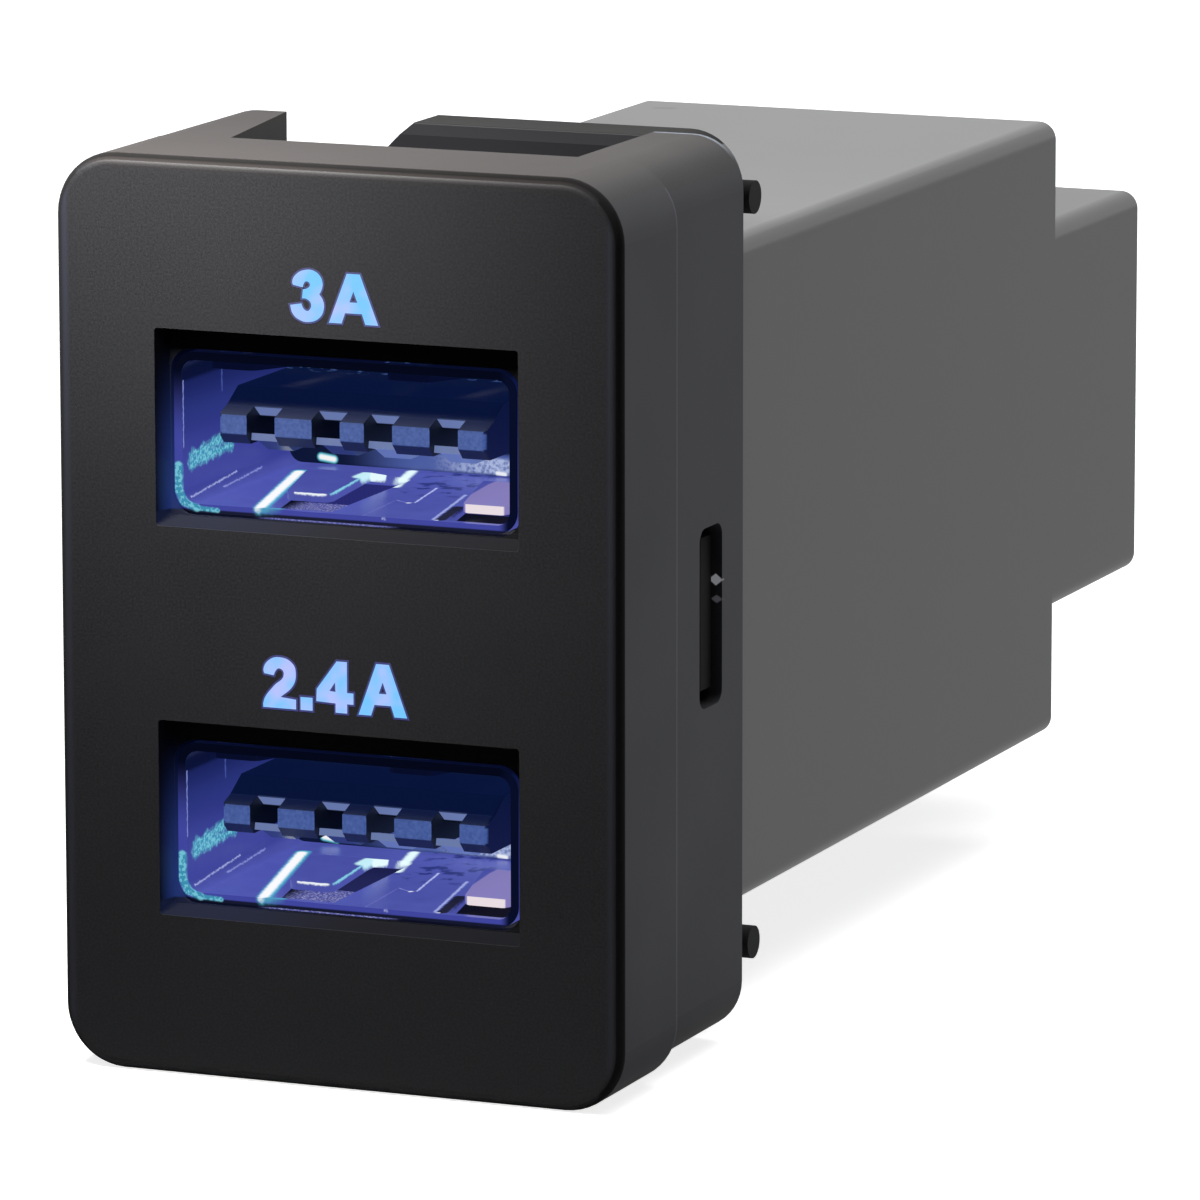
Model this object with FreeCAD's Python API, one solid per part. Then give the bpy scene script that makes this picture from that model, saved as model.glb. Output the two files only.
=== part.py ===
import FreeCAD, Part
import math
import os

# Car dual USB socket, made to replace a dash switch blank.
# The origin is the middle of the front face. X points right as the driver sees it,
# Y points back into the dash and Z points up. All sizes are in millimetres.

# Bezel: one moulding that the driver sees
face_width = 21.5
face_height = 32.9
face_corner_radius = 2.25
face_edge_round = 0.4
face_thickness = 1.8
front_band_depth = 5.2
bezel_depth = 12.3
band_step = 0.35
bezel_wall = 1.2
bezel_side_wall = 1.3

# Windows in the face, one for each socket, with a margin round the shell
port_pitch = 14.0
window_side_margin = 0.15
window_top_margin = 0.9
window_bottom_margin = 0.13
window_corner_radius = 0.12
window_flare = 0.22
window_sill = 0.3
collar_wall = 0.75
collar_depth = 4.6

# Clip notches in the bezel's top and bottom walls, and latch slots in its sides
notch_right = 7.0
notch_left = 7.5
notch_left_taper = 1.2
slot_start = 8.15
slot_length = 2.15
slot_height = 6.5
slot_drop = 0.3
slot_corner_radius = 0.5

# Lit current ratings above each window
legend_gap = 0.25
legend_width = 6.6
legend_height = 2.6
legend_skin = 0.8

# Housing: the box behind the bezel
housing_front = 7.6
housing_back = 49.4
housing_height = 24.5
housing_wall = 1.1
housing_rear_wall = 1.5
housing_edge_radius = 0.7
housing_fit = 0.15
guide_rib_width = 1.0
guide_rib_inset = 0.3
guide_rib_end_gap = 0.4
latch_fit = 0.05
latch_recess = 0.4
latch_slit = 0.5
latch_arm_tail = 1.6

# Retaining bars that stand on the housing behind the bezel
bar_gap = 0.35
bar_thickness = 2.6
bar_overhang = 0.25
bar_top_drop = 0.25
bar_bottom_rise = 0.8
bar_corner_radius = 2.0
bar_left_end = -4.15
bar_chamfer = 1.5
bar_edge_chamfer = 0.4
nub_radius = 0.6
nub_reach = 1.0
nub_inset = 2.15

# Connector shroud at the back of the housing
shroud_back = 59.6
shroud_width = 17.7
shroud_height = 15.5
shroud_z = 0.4
shroud_wall = 1.2
key_rib_width = 1.2
key_rib_height = 0.9
key_rib_x = 2.6
key_rib_end_gap = 1.5

# USB sockets
shell_width = 13.1
shell_height = 5.72
shell_corner_radius = 0.8
shell_sheet = 0.3
shell_recess = 0.8
shell_fit = 0.1
shell_leg_width = 1.6
shell_leg_tail = 1.3
spring_window_inset = 0.3
spring_window_length = 7.2
spring_window_width = 2.35
spring_pitch = 6.75
spring_side_inset = 0.45
spring_slant = 0.2
spring_gap = 0.4
spring_tip_gap = 0.8
spring_tip_round = 0.35
spring_lead_in = 3.0
spring_crest = 0.6
spring_lift = 0.65
outer_spring_tip_rise = 0.45
inner_spring_tip_rise = 0.45

tongue_front = 1.4
tongue_side_gap = 1.15
tongue_thickness = 1.84
tongue_rise = 0.45
tongue_root = 9.8
tongue_nose = 0.65
tongue_lower_chamfer = 0.4
tongue_bevel_run = 0.68
tongue_bevel_rise = 0.24
tongue_shoulder_run = 0.95
tongue_side_chamfer = 0.12
groove_depth = 0.45
notch_roof_run = 0.5
notch_roof_drop = 0.39
pocket_depth = 0.85
pocket_end = 5.6
root_window_length = 2.0
root_window_gap = 0.3
root_window_depth = 0.4
insulator_fit = 0.05

contact_width = 1.0
contact_sheet = 0.25
contact_front = 1.75
contact_lead_in = 0.6
contact_crest = 0.8
contact_slope = 0.8
contact_root_gap = 1.2
contact_dip = 0.55
contact_fit = 0.05
contact_tail = 1.4
contact_places = (-3.5, -1.0, 1.0, 3.5)

# Boards
board_fit = 0.15
board_slot_fit = 0.05
front_board_y = 14.5
front_board_thickness = 1.2
main_board_gap = 1.2
main_board_end_gap = 1.0
main_board_top = -1.0
main_board_thickness = 1.2
rail_size = 0.8
ledge_size = 1.6
ledge_length = 3.0
pin_hole_fit = 0.1

# Light guides and lamps
guide_fit = 0.05
guide_pad_tail = 0.4
guide_neck_length = 2.2
guide_stem_width = 3.0
guide_stem_height = 1.1
guide_shell_gap = 0.17
lamp_length = 1.6
lamp_height = 0.8
lamp_thickness = 0.6
lamp_lens_length = 1.1
lamp_lens_height = 0.7
lamp_lens_depth = 0.25
lamp_gap = 0.1

# Header between the boards
header_length = 12.7
header_depth = 2.5
header_height = 2.5
header_board_gap = 1.55
header_pin = 0.5
header_pin_pitch = 2.54
header_pin_count = 5
header_pin_tail = 1.1
header_pin_front = 0.6

# Converter parts on the main board
part_gap = 0.3
inductor_size = 8.0
inductor_height = 4.5
inductor_corner_cut = 1.1
inductor_core_radius = 2.9
inductor_well_gap = 0.5
inductor_well_depth = 1.1
capacitor_radius = 3.15
capacitor_height = 7.7
capacitor_base = 0.7
capacitor_crimp_rise = 1.0
capacitor_crimp_height = 0.8
capacitor_crimp_depth = 0.35
capacitor_top_round = 0.3
chip_length = 4.9
chip_width = 3.9
chip_height = 1.4
chip_standoff = 0.15
chip_leads_a_side = 4
chip_lead_pitch = 1.27
chip_lead_width = 0.42
chip_lead_shoulder = 0.4
chip_lead_slope = 0.15
chip_lead_foot = 0.5
chip_lead_sheet = 0.2
fuse_length = 6.6
fuse_width = 5.0
fuse_height = 1.2
fuse_cap_length = 1.0
fuse_cap_step = 0.1

# Power inlet blades
blade_width = 4.8
blade_thickness = 0.8
blade_spacing = 7.8
blade_recess = 2.0
blade_foot_inset = 4.5
blade_tip_chamfer = 1.0
blade_tip_taper = 1.5
blade_fit = 0.05
blade_pin_width = 1.2
blade_pin_tail = 1.0

# Cutters run this far past what they cut, and pieces that are fused share this much
overrun = 1.0
overlap = 0.5

# Sizes that follow from the ones above. The second band is stepped in at its sides and
# its bottom, and lies level with the first band at the top.
body_width = face_width - 2 * band_step
body_height = face_height - band_step
body_z = band_step / 2
cavity_width = body_width - 2 * bezel_side_wall
cavity_height = body_height - 2 * bezel_wall
cavity_top = body_z + cavity_height / 2
cavity_bottom = body_z - cavity_height / 2
housing_width = cavity_width - 2 * housing_fit
inner_width = housing_width - 2 * housing_wall
inner_height = housing_height - 2 * housing_wall

window_width = shell_width + 2 * window_side_margin
window_height = shell_height + window_top_margin + window_bottom_margin
shell_drop = (window_top_margin - window_bottom_margin) / 2
legend_rise = window_height / 2 + legend_gap + legend_height / 2
spring_window_start = shell_recess + spring_window_inset
outer_spring_x = shell_width / 2 - spring_side_inset - spring_window_width / 2

bar_front = bezel_depth + bar_gap
bar_half_width = housing_width / 2 + bar_overhang
bar_top = face_height / 2 - bar_top_drop
bar_bottom = body_z - body_height / 2 + bar_bottom_rise
latch_arm_end = slot_start + slot_length + latch_arm_tail

front_board_back = front_board_y + front_board_thickness
main_board_front = front_board_back + main_board_gap
main_board_back = housing_back - housing_rear_wall - main_board_end_gap
main_board_bottom = main_board_top - main_board_thickness
header_y = front_board_back + header_board_gap + header_depth / 2
header_pin_z = main_board_top + header_height / 2
output_capacitor_y = header_y + header_depth / 2 + part_gap + capacitor_radius
inductor_y = output_capacitor_y + capacitor_radius + part_gap + inductor_size / 2
input_capacitor_y = inductor_y + inductor_size / 2 + part_gap + capacitor_radius
capacitor_x = rail_size + part_gap + capacitor_radius - inner_width / 2
free_side_x = (capacitor_x + capacitor_radius + inner_width / 2 - rail_size) / 2
blade_foot_y = main_board_back - blade_foot_inset
blade_tip = shroud_back - blade_recess

tongue_width = shell_width - 2 * shell_sheet - 2 * tongue_side_gap
tongue_bottom_rise = tongue_rise - tongue_thickness / 2
tongue_nose_rise = tongue_bottom_rise + tongue_lower_chamfer + tongue_nose
bevel_back = tongue_front + tongue_bevel_run
bevel_rise = tongue_nose_rise + tongue_bevel_rise
contact_middle_rise = tongue_bottom_rise + groove_depth - contact_fit - contact_sheet / 2
guide_stem_rise = shell_height / 2 - shell_drop + guide_shell_gap + guide_stem_height / 2
port_lamp_drop = shell_height / 2 + shell_drop + lamp_gap + lamp_height / 2
ports = {"upper": port_pitch / 2, "lower": -port_pitch / 2}


def vec(x, y, z):
    return FreeCAD.Vector(x, y, z)


def box(x0, x1, y0, y1, z0, z1):
    """Box between two corners."""
    return Part.makeBox(x1 - x0, y1 - y0, z1 - z0, vec(x0, y0, z0))


def block(x, width, y0, y1, z, height):
    """Box centred on x and z."""
    return box(x - width / 2, x + width / 2, y0, y1, z - height / 2, z + height / 2)


def polygon(points):
    """Flat face through the points."""
    return Part.Face(Part.makePolygon(points + [points[0]]))


def along_x(section, x, width):
    """Solid of a (y, z) section, centred on x."""
    face = polygon([vec(x - width / 2, y, z) for y, z in section])
    return face.extrude(vec(width, 0, 0))


def rounded_prism(width, height, radius, y0, y1, z=0.0):
    """Rectangle with round corners, centred on x = 0 and drawn out along Y."""
    half_x = width / 2
    half_z = height / 2
    turn = radius * (1 - math.sqrt(0.5))
    edges = []
    corners = ((1, 1), (-1, 1), (-1, -1), (1, -1))
    for number, (side_x, side_z) in enumerate(corners):
        on_side = vec(side_x * half_x, y0, z + side_z * (half_z - radius))
        on_top = vec(side_x * (half_x - radius), y0, z + side_z * half_z)
        middle = vec(side_x * (half_x - turn), y0, z + side_z * (half_z - turn))
        start, end = (on_side, on_top) if number % 2 == 0 else (on_top, on_side)
        if edges:
            edges.append(Part.LineSegment(last, start).toShape())
        else:
            first = start
        edges.append(Part.Arc(start, middle, end).toShape())
        last = end
    edges.append(Part.LineSegment(last, first).toShape())
    return Part.Face(Part.Wire(edges)).extrude(vec(0, y1 - y0, 0))


def tapered_block(front, back):
    """Solid between two upright rectangles, each given as (width, height, y, z)."""
    rings = []
    for width, height, y, z in (front, back):
        rings.append([vec(side_x * width / 2, y, z + side_z * height / 2)
                      for side_x, side_z in ((1, 1), (-1, 1), (-1, -1), (1, -1))])
    faces = [polygon(ring) for ring in rings]
    for number in range(4):
        after = (number + 1) % 4
        faces.append(polygon([rings[0][number], rings[0][after],
                              rings[1][after], rings[1][number]]))
    solid = Part.Solid(Part.Shell(faces))
    if solid.Volume < 0:
        solid.reverse()
    return solid


def unit_normal(start, end):
    """Left-hand normal of a run from start to end, both (y, z)."""
    run_y = end[0] - start[0]
    run_z = end[1] - start[1]
    length = math.hypot(run_y, run_z)
    return -run_z / length, run_y / length


def strip_section(path, thickness):
    """Outline of sheet that follows a path of (y, z) points, with mitred bends."""
    above = []
    below = []
    for number, point in enumerate(path):
        before = path[max(number - 1, 0)]
        after = path[min(number + 1, len(path) - 1)]
        into = unit_normal(before, point) if number else unit_normal(point, after)
        out = unit_normal(point, after) if after != point else into
        mean_y = into[0] + out[0]
        mean_z = into[1] + out[1]
        scale = thickness / (mean_y ** 2 + mean_z ** 2)
        above.append((point[0] + mean_y * scale, point[1] + mean_z * scale))
        below.append((point[0] - mean_y * scale, point[1] - mean_z * scale))
    return above + below[::-1]


def bent_strip(path, thickness, x, width):
    """Sheet strip of the given width whose section follows the path."""
    return along_x(strip_section(path, thickness), x, width)


def flat_edges(shape, y, inside_x, inside_z):
    """Edges in the plane Y = y whose middle lies within the given half sizes."""
    chosen = []
    for edge in shape.Edges:
        limits = edge.BoundBox
        if abs(limits.YMin - y) < 1e-4 and abs(limits.YMax - y) < 1e-4:
            if abs(limits.Center.x) < inside_x and abs(limits.Center.z) < inside_z:
                chosen.append(edge)
    return chosen


def edges_along_y(shape, corner_x, low_z, high_z):
    """Straight edges along Y at the corners of a box section."""
    chosen = []
    for edge in shape.Edges:
        limits = edge.BoundBox
        runs_back = limits.YLength > 1 and limits.XLength < 1e-4 and limits.ZLength < 1e-4
        at_side = abs(abs(limits.Center.x) - corner_x) < 1e-4
        at_corner = min(abs(limits.Center.z - low_z), abs(limits.Center.z - high_z)) < 1e-4
        if runs_back and at_side and at_corner:
            chosen.append(edge)
    return chosen


def one_solid(shape):
    """Merged faces, as one solid."""
    merged = shape.removeSplitter()
    return merged.Solids[0] if len(merged.Solids) == 1 else merged


def save(name, shape):
    shape.exportStep(os.path.join("parts", name + ".step"))


def window_cutter(port_z):
    """Flared window through the face, and a close opening for the shell behind it."""
    front = (window_width + 2 * window_flare, window_height + window_sill,
             0, port_z - window_sill / 2)
    flare = tapered_block(front, (window_width, window_height, shell_recess, port_z))
    corners = [edge for edge in flare.Edges if edge.BoundBox.YLength > shell_recess / 2]
    flare = flare.makeFillet(window_corner_radius, corners)
    opening = rounded_prism(shell_width + 2 * shell_fit, shell_height + 2 * shell_fit,
                            shell_corner_radius, 0, collar_depth + overrun,
                            z=port_z - shell_drop)
    return flare.fuse(opening)


def bezel():
    """Face, side wall in two bands, collars behind the windows, notches and latch slots."""
    band = rounded_prism(face_width, face_height, face_corner_radius, 0, front_band_depth)
    band = band.makeFillet(face_edge_round, flat_edges(band, 0, face_width, face_height))
    body_radius = face_corner_radius - band_step
    body = rounded_prism(body_width, body_height, body_radius,
                         front_band_depth - overlap, bezel_depth, z=body_z)
    shape = band.fuse(body)
    shape = shape.cut(rounded_prism(cavity_width, cavity_height,
                                    max(body_radius - bezel_wall, overlap),
                                    face_thickness, bezel_depth + overrun, z=body_z))
    for port_z in ports.values():
        shape = shape.fuse(rounded_prism(shell_width + 2 * shell_fit + 2 * collar_wall,
                                         shell_height + 2 * shell_fit + 2 * collar_wall,
                                         shell_corner_radius + collar_wall,
                                         face_thickness - overlap, collar_depth,
                                         z=port_z - shell_drop))
    for port_z in ports.values():
        shape = shape.cut(window_cutter(port_z))
        shape = shape.cut(block(0, legend_width, legend_skin, face_thickness + overrun,
                                port_z + legend_rise, legend_height))
    for side in (1, -1):
        shape = shape.cut(clip_notch(side))
        shape = shape.cut(latch_slot(side))
    return one_solid(shape)


def clip_notch(side):
    """Notch in the top or bottom wall, open at the back, with one end cut at a slant."""
    low, high = sorted((body_z + side * (cavity_height / 2 - overlap), side * face_height))
    back = bezel_depth + overrun
    plan = polygon([vec(notch_right, front_band_depth, low), vec(notch_right, back, low),
                    vec(-notch_left, back, low),
                    vec(notch_left_taper - notch_left, front_band_depth, low)])
    return plan.extrude(vec(0, 0, high - low))


def latch_slot(side):
    """Slot with round corners through one side wall."""
    slot = Part.makeBox(body_width, slot_length, slot_height,
                        vec(0, slot_start, -slot_drop - slot_height / 2))
    across = [edge for edge in slot.Edges if edge.BoundBox.XLength > body_width / 2]
    slot = slot.makeFillet(slot_corner_radius, across)
    slot.translate(vec(cavity_width / 4, 0, 0))
    return slot if side > 0 else slot.mirror(vec(0, 0, 0), vec(1, 0, 0))


def retaining_bar(sign, outer_z, left, nub_sides):
    """Bar across the housing behind the bezel, with a round nub at its open ends."""
    root = sign * (housing_height / 2 - housing_edge_radius)
    side_height = abs(outer_z - root) - bar_edge_chamfer
    radius = min(bar_corner_radius, side_height)
    chamfer = min(bar_chamfer, side_height)
    turn = radius * (1 - math.sqrt(0.5))
    right = bar_half_width

    def at(x, inset):
        return vec(x, bar_front, outer_z - sign * inset)

    foot_right = vec(right, bar_front, root)
    foot_left = vec(left, bar_front, root)
    outline = [Part.LineSegment(foot_right, at(right, radius)),
               Part.Arc(at(right, radius), at(right - turn, turn), at(right - radius, 0)),
               Part.LineSegment(at(right - radius, 0), at(left + chamfer, 0)),
               Part.LineSegment(at(left + chamfer, 0), at(left, chamfer)),
               Part.LineSegment(at(left, chamfer), foot_left),
               Part.LineSegment(foot_left, foot_right)]
    wire = Part.Wire([curve.toShape() for curve in outline])
    bar = Part.Face(wire).extrude(vec(0, bar_thickness, 0))
    top_edge = [edge for edge in flat_edges(bar, bar_front, right, abs(outer_z) + overrun)
                if abs(edge.BoundBox.Center.z - outer_z) < 1e-4]
    bar = bar.makeChamfer(bar_edge_chamfer, top_edge)
    for side in nub_sides:
        nub = Part.makeCylinder(nub_radius, overlap + nub_reach,
                                vec(side * (right - overlap), bar_front + bar_thickness / 2,
                                    outer_z - sign * nub_inset), vec(side, 0, 0))
        bar = bar.fuse(nub)
    return bar


def latch_tooth(side):
    """Wedge on a housing side that snaps into the bezel's slot."""
    root = housing_width / 2 - housing_wall / 2
    tip = body_width / 2 - latch_recess
    start = slot_start + latch_fit
    end = slot_start + slot_length - latch_fit
    half = slot_height / 2 - slot_corner_radius
    section = [vec(side * root, start, -slot_drop - half),
               vec(side * housing_width / 2, start, -slot_drop - half),
               vec(side * tip, (start + end) / 2, -slot_drop - half),
               vec(side * tip, end, -slot_drop - half),
               vec(side * root, end, -slot_drop - half)]
    return polygon(section).extrude(vec(0, 0, 2 * half))


def housing_box():
    """Outer box, hollow from the front, with the shroud behind it."""
    shape = block(0, housing_width, housing_front, housing_back, 0, housing_height)
    corners = edges_along_y(shape, housing_width / 2, -housing_height / 2, housing_height / 2)
    shape = shape.makeFillet(housing_edge_radius, corners)
    shroud = rounded_prism(shroud_width, shroud_height, housing_edge_radius,
                           housing_back - overlap, shroud_back, z=shroud_z)
    shape = shape.fuse(shroud)
    shape = shape.cut(block(0, inner_width, housing_front - overrun,
                            housing_back - housing_rear_wall, 0, inner_height))
    return shape.cut(block(0, shroud_width - 2 * shroud_wall, housing_back,
                           shroud_back + overrun, shroud_z, shroud_height - 2 * shroud_wall))


def housing_guides():
    """Ribs that centre the housing in the bezel, top and bottom."""
    inside = housing_height / 2 - housing_wall / 2
    ribs = []
    for side in (1, -1):
        x = side * (housing_width / 2 - guide_rib_inset - guide_rib_width / 2)
        for low, high in ((inside, cavity_top - housing_fit),
                          (cavity_bottom + housing_fit, -inside)):
            ribs.append(box(x - guide_rib_width / 2, x + guide_rib_width / 2,
                            housing_front, bezel_depth - guide_rib_end_gap, low, high))
    return ribs


def housing_rails():
    """Rails that hold the main board's edges, and ledges behind the front board."""
    start = front_board_back + board_slot_fit
    end = housing_back - housing_rear_wall / 2
    wall = inner_width / 2
    edge = inner_height / 2
    pieces = []
    for side in (1, -1):
        x0, x1 = sorted((side * (wall - rail_size), side * (wall + housing_wall / 2)))
        upper = main_board_top + board_slot_fit
        lower = main_board_bottom - board_slot_fit
        pieces.append(box(x0, x1, start, end, upper, upper + rail_size))
        pieces.append(box(x0, x1, start, end, lower - rail_size, lower))
        x0, x1 = sorted((side * (wall - ledge_size), side * (wall + housing_wall / 2)))
        for low, high in ((edge - ledge_size, edge + housing_wall / 2),
                          (-edge - housing_wall / 2, ledge_size - edge)):
            pieces.append(box(x0, x1, start, start + ledge_length, low, high))
    return pieces


def key_rib():
    """Rib on the shroud's floor that lets the plug in one way up only."""
    floor = shroud_z - shroud_height / 2
    return box(key_rib_x - key_rib_width / 2, key_rib_x + key_rib_width / 2,
               housing_back - overlap, shroud_back - key_rib_end_gap,
               floor + shroud_wall / 2, floor + shroud_wall + key_rib_height)


def housing():
    """Box with shroud, bars, latch arms, rails and the slots for the blades."""
    shape = housing_box()
    additions = housing_guides() + housing_rails() + [key_rib()]
    additions.append(retaining_bar(1, bar_top, bar_left_end, (1,)))
    additions.append(retaining_bar(-1, bar_bottom, -bar_half_width, (1, -1)))
    shape = shape.multiFuse(additions)
    shape = shape.cut(block(0, inner_width, housing_front - overrun,
                            front_board_back + board_slot_fit, 0, inner_height))
    for side in (1, -1):
        shape = shape.fuse(latch_tooth(side))
        half = slot_height / 2 + latch_slit
        x0, x1 = sorted((side * (inner_width / 2 - overrun), side * (housing_width / 2 + overrun)))
        for low in (-slot_drop - half - latch_slit, -slot_drop + half):
            shape = shape.cut(box(x0, x1, housing_front - overrun, latch_arm_end,
                                  low, low + latch_slit))
        shape = shape.cut(block(side * blade_spacing / 2, blade_width + 2 * blade_fit,
                                housing_back - housing_rear_wall - overrun,
                                housing_back + overrun,
                                shroud_z, blade_thickness + 2 * blade_fit))
    return one_solid(shape)


def leaning_prism(left, right, slant, y0, y1, height):
    """Prism whose left side leans out by the slant for each mm towards its back."""
    plan = polygon([vec(left, y0, -height), vec(right, y0, -height), vec(right, y1, -height),
                    vec(left - slant * (y1 - y0), y1, -height)])
    return plan.extrude(vec(0, 0, 2 * height))


def spring_tab(tip_rise):
    """Spring tab in a sheet at z = 0, hinged at the back and raised towards +z."""
    end = spring_window_start + spring_window_length
    tip = spring_window_start + spring_tip_gap
    crest = tip + spring_lead_in
    path = [(end + shell_sheet / 2, 0), (end, 0), (crest + spring_crest, spring_lift),
            (crest, spring_lift), (tip, tip_rise)]
    right = spring_window_width / 2 - spring_gap
    plan = leaning_prism(-right - spring_slant * spring_tip_gap, right, spring_slant,
                         tip, end + shell_sheet, spring_lift + 2 * shell_sheet)
    tip_corners = [edge for edge in plan.Edges
                   if edge.BoundBox.ZLength > spring_lift and edge.BoundBox.YMax < tip + 1e-4]
    plan = plan.makeFillet(spring_tip_round, tip_corners)
    return bent_strip(path, shell_sheet, 0, 3 * spring_window_width).common(plan)


def usb_shell(port_z):
    """Folded steel shell with two spring tabs in its floor and roof, and a leg on each side."""
    middle = port_z - shell_drop
    tube = rounded_prism(shell_width, shell_height, shell_corner_radius,
                         shell_recess, front_board_y)
    bore = rounded_prism(shell_width - 2 * shell_sheet, shell_height - 2 * shell_sheet,
                         shell_corner_radius - shell_sheet,
                         shell_recess - overrun, front_board_y + overrun)
    shape = tube.cut(bore)
    floor_z = shell_sheet / 2 - shell_height / 2
    end = spring_window_start + spring_window_length
    springs = ((outer_spring_x, outer_spring_tip_rise),
               (outer_spring_x - spring_pitch, inner_spring_tip_rise))
    for turn in (0, 180):
        for x, tip_rise in springs:
            half = spring_window_width / 2
            hole = leaning_prism(-half, half, spring_slant, spring_window_start, end, shell_sheet)
            tab = spring_tab(tip_rise)
            for piece in (hole, tab):
                piece.translate(vec(x, 0, floor_z))
                piece.rotate(vec(0, 0, 0), vec(0, 1, 0), turn)
            shape = shape.cut(hole).fuse(tab)
    for side in (1, -1):
        x = side * (shell_width - shell_sheet) / 2
        shape = shape.fuse(block(x, shell_sheet, front_board_y - overlap,
                                 front_board_back + shell_leg_tail, 0, shell_leg_width))
    shape.translate(vec(0, 0, middle))
    return one_solid(shape)


def tongue_section():
    """Side view of the tongue, as (y, z) points about the shell's middle."""
    low = tongue_bottom_rise
    high = tongue_bottom_rise + tongue_thickness
    root = tongue_root + overlap
    return [(root, low), (tongue_front + tongue_lower_chamfer, low),
            (tongue_front, low + tongue_lower_chamfer), (tongue_front, tongue_nose_rise),
            (bevel_back, bevel_rise), (bevel_back + tongue_shoulder_run, high), (root, high)]


def notch_section():
    """Side view of the notch in the tongue's nose, which shows each contact's tip."""
    front = tongue_front - overrun
    back = bevel_back + notch_roof_run
    low = tongue_bottom_rise - overrun
    return [(front, low), (front, bevel_rise), (bevel_back, bevel_rise),
            (back, bevel_rise - notch_roof_drop), (back, low)]


def usb_insulator(port_z):
    """Moulded base that fills the shell's back, with the tongue that carries the contacts."""
    base_width = shell_width - 2 * shell_sheet - 2 * insulator_fit
    base_height = shell_height - 2 * shell_sheet - 2 * insulator_fit
    base = rounded_prism(base_width, base_height, shell_corner_radius - shell_sheet,
                         tongue_root, front_board_y)
    tongue = along_x(tongue_section(), 0, tongue_width)
    for side in (1, -1):
        edge = side * tongue_width / 2
        wedge = polygon([vec(edge, tongue_front, -shell_height),
                         vec(edge - side * tongue_side_chamfer, tongue_front, -shell_height),
                         vec(edge, tongue_front + tongue_side_chamfer, -shell_height)])
        tongue = tongue.cut(wedge.extrude(vec(0, 0, 2 * shell_height)))
    shape = base.fuse(tongue)
    low = tongue_bottom_rise
    groove = contact_width + 2 * contact_fit
    for x in contact_places:
        shape = shape.cut(along_x(notch_section(), x, groove))
        shape = shape.cut(block(x, groove, tongue_front - overrun, pocket_end,
                                low, 2 * pocket_depth))
        shape = shape.cut(block(x, groove, tongue_front - overrun, tongue_root,
                                low, 2 * groove_depth))
        shape = shape.cut(block(x, groove, tongue_root - root_window_gap - root_window_length,
                                tongue_root - root_window_gap,
                                low + tongue_thickness, 2 * root_window_depth))
        shape = shape.cut(block(x, groove, tongue_root - overlap, front_board_y + overrun,
                                contact_middle_rise, contact_sheet + 2 * contact_fit))
    shape.translate(vec(0, 0, port_z - shell_drop))
    return one_solid(shape)


def usb_contact(port_z, x):
    """Sprung contact that lies in its groove under the tongue and ends in the front board."""
    z = port_z - shell_drop + contact_middle_rise
    bend = contact_front + contact_lead_in
    crest = bend + contact_slope
    path = [(front_board_back + contact_tail, z), (tongue_root - contact_root_gap, z),
            (crest + contact_crest, z - contact_dip), (crest, z - contact_dip),
            (bend, z - contact_sheet / 2), (contact_front, z)]
    return bent_strip(path, contact_sheet, x, contact_width)


def light_guide(port_z):
    """Clear guide: a pad behind the rating, a neck that drops, and a stem to the lamp."""
    pad_z = port_z + legend_rise
    stem_z = port_z + guide_stem_rise
    pad_front = legend_skin + guide_fit
    stem_back = front_board_y - lamp_thickness - lamp_gap
    pad_width = legend_width - 2 * guide_fit
    pad_height = legend_height - 2 * guide_fit
    pad_back = collar_depth + guide_pad_tail
    neck_back = pad_back + guide_neck_length
    pad = block(0, pad_width, pad_front, pad_back, pad_z, pad_height)
    stem = block(0, guide_stem_width, neck_back, stem_back, stem_z, guide_stem_height)
    neck = tapered_block((pad_width, pad_height, pad_back, pad_z),
                         (guide_stem_width, guide_stem_height, neck_back, stem_z))
    return one_solid(pad.fuse(neck).fuse(stem))


def lamp(z):
    """Small lamp on the front board: a body with a proud lens."""
    body_front = front_board_y - lamp_thickness + lamp_lens_depth
    body = block(0, lamp_length, body_front, front_board_y, z, lamp_height)
    lens = block(0, lamp_lens_length, front_board_y - lamp_thickness,
                 (body_front + front_board_y) / 2, z, lamp_lens_height)
    return one_solid(body.fuse(lens))


def header_pin_places():
    first = -header_pin_pitch * (header_pin_count - 1) / 2
    return [first + number * header_pin_pitch for number in range(header_pin_count)]


def front_board():
    """Upright board that carries the sockets, with a hole for each tail."""
    shape = block(0, inner_width - 2 * board_fit, front_board_y, front_board_back,
                  0, inner_height - 2 * board_fit)
    for port_z in ports.values():
        middle = port_z - shell_drop
        for x in contact_places:
            shape = shape.cut(block(x, contact_width + 2 * pin_hole_fit,
                                    front_board_y - overrun, front_board_back + overrun,
                                    middle + contact_middle_rise,
                                    contact_sheet + 2 * pin_hole_fit))
        for side in (1, -1):
            x = side * (shell_width - shell_sheet) / 2
            shape = shape.cut(block(x, shell_sheet + 2 * pin_hole_fit,
                                    front_board_y - overrun, front_board_back + overrun,
                                    middle, shell_leg_width + 2 * pin_hole_fit))
    radius = header_pin / math.sqrt(2) + pin_hole_fit
    for x in header_pin_places():
        shape = shape.cut(Part.makeCylinder(radius, front_board_thickness + 2 * overrun,
                                            vec(x, front_board_y - overrun, header_pin_z),
                                            vec(0, 1, 0)))
    return one_solid(shape)


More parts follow.
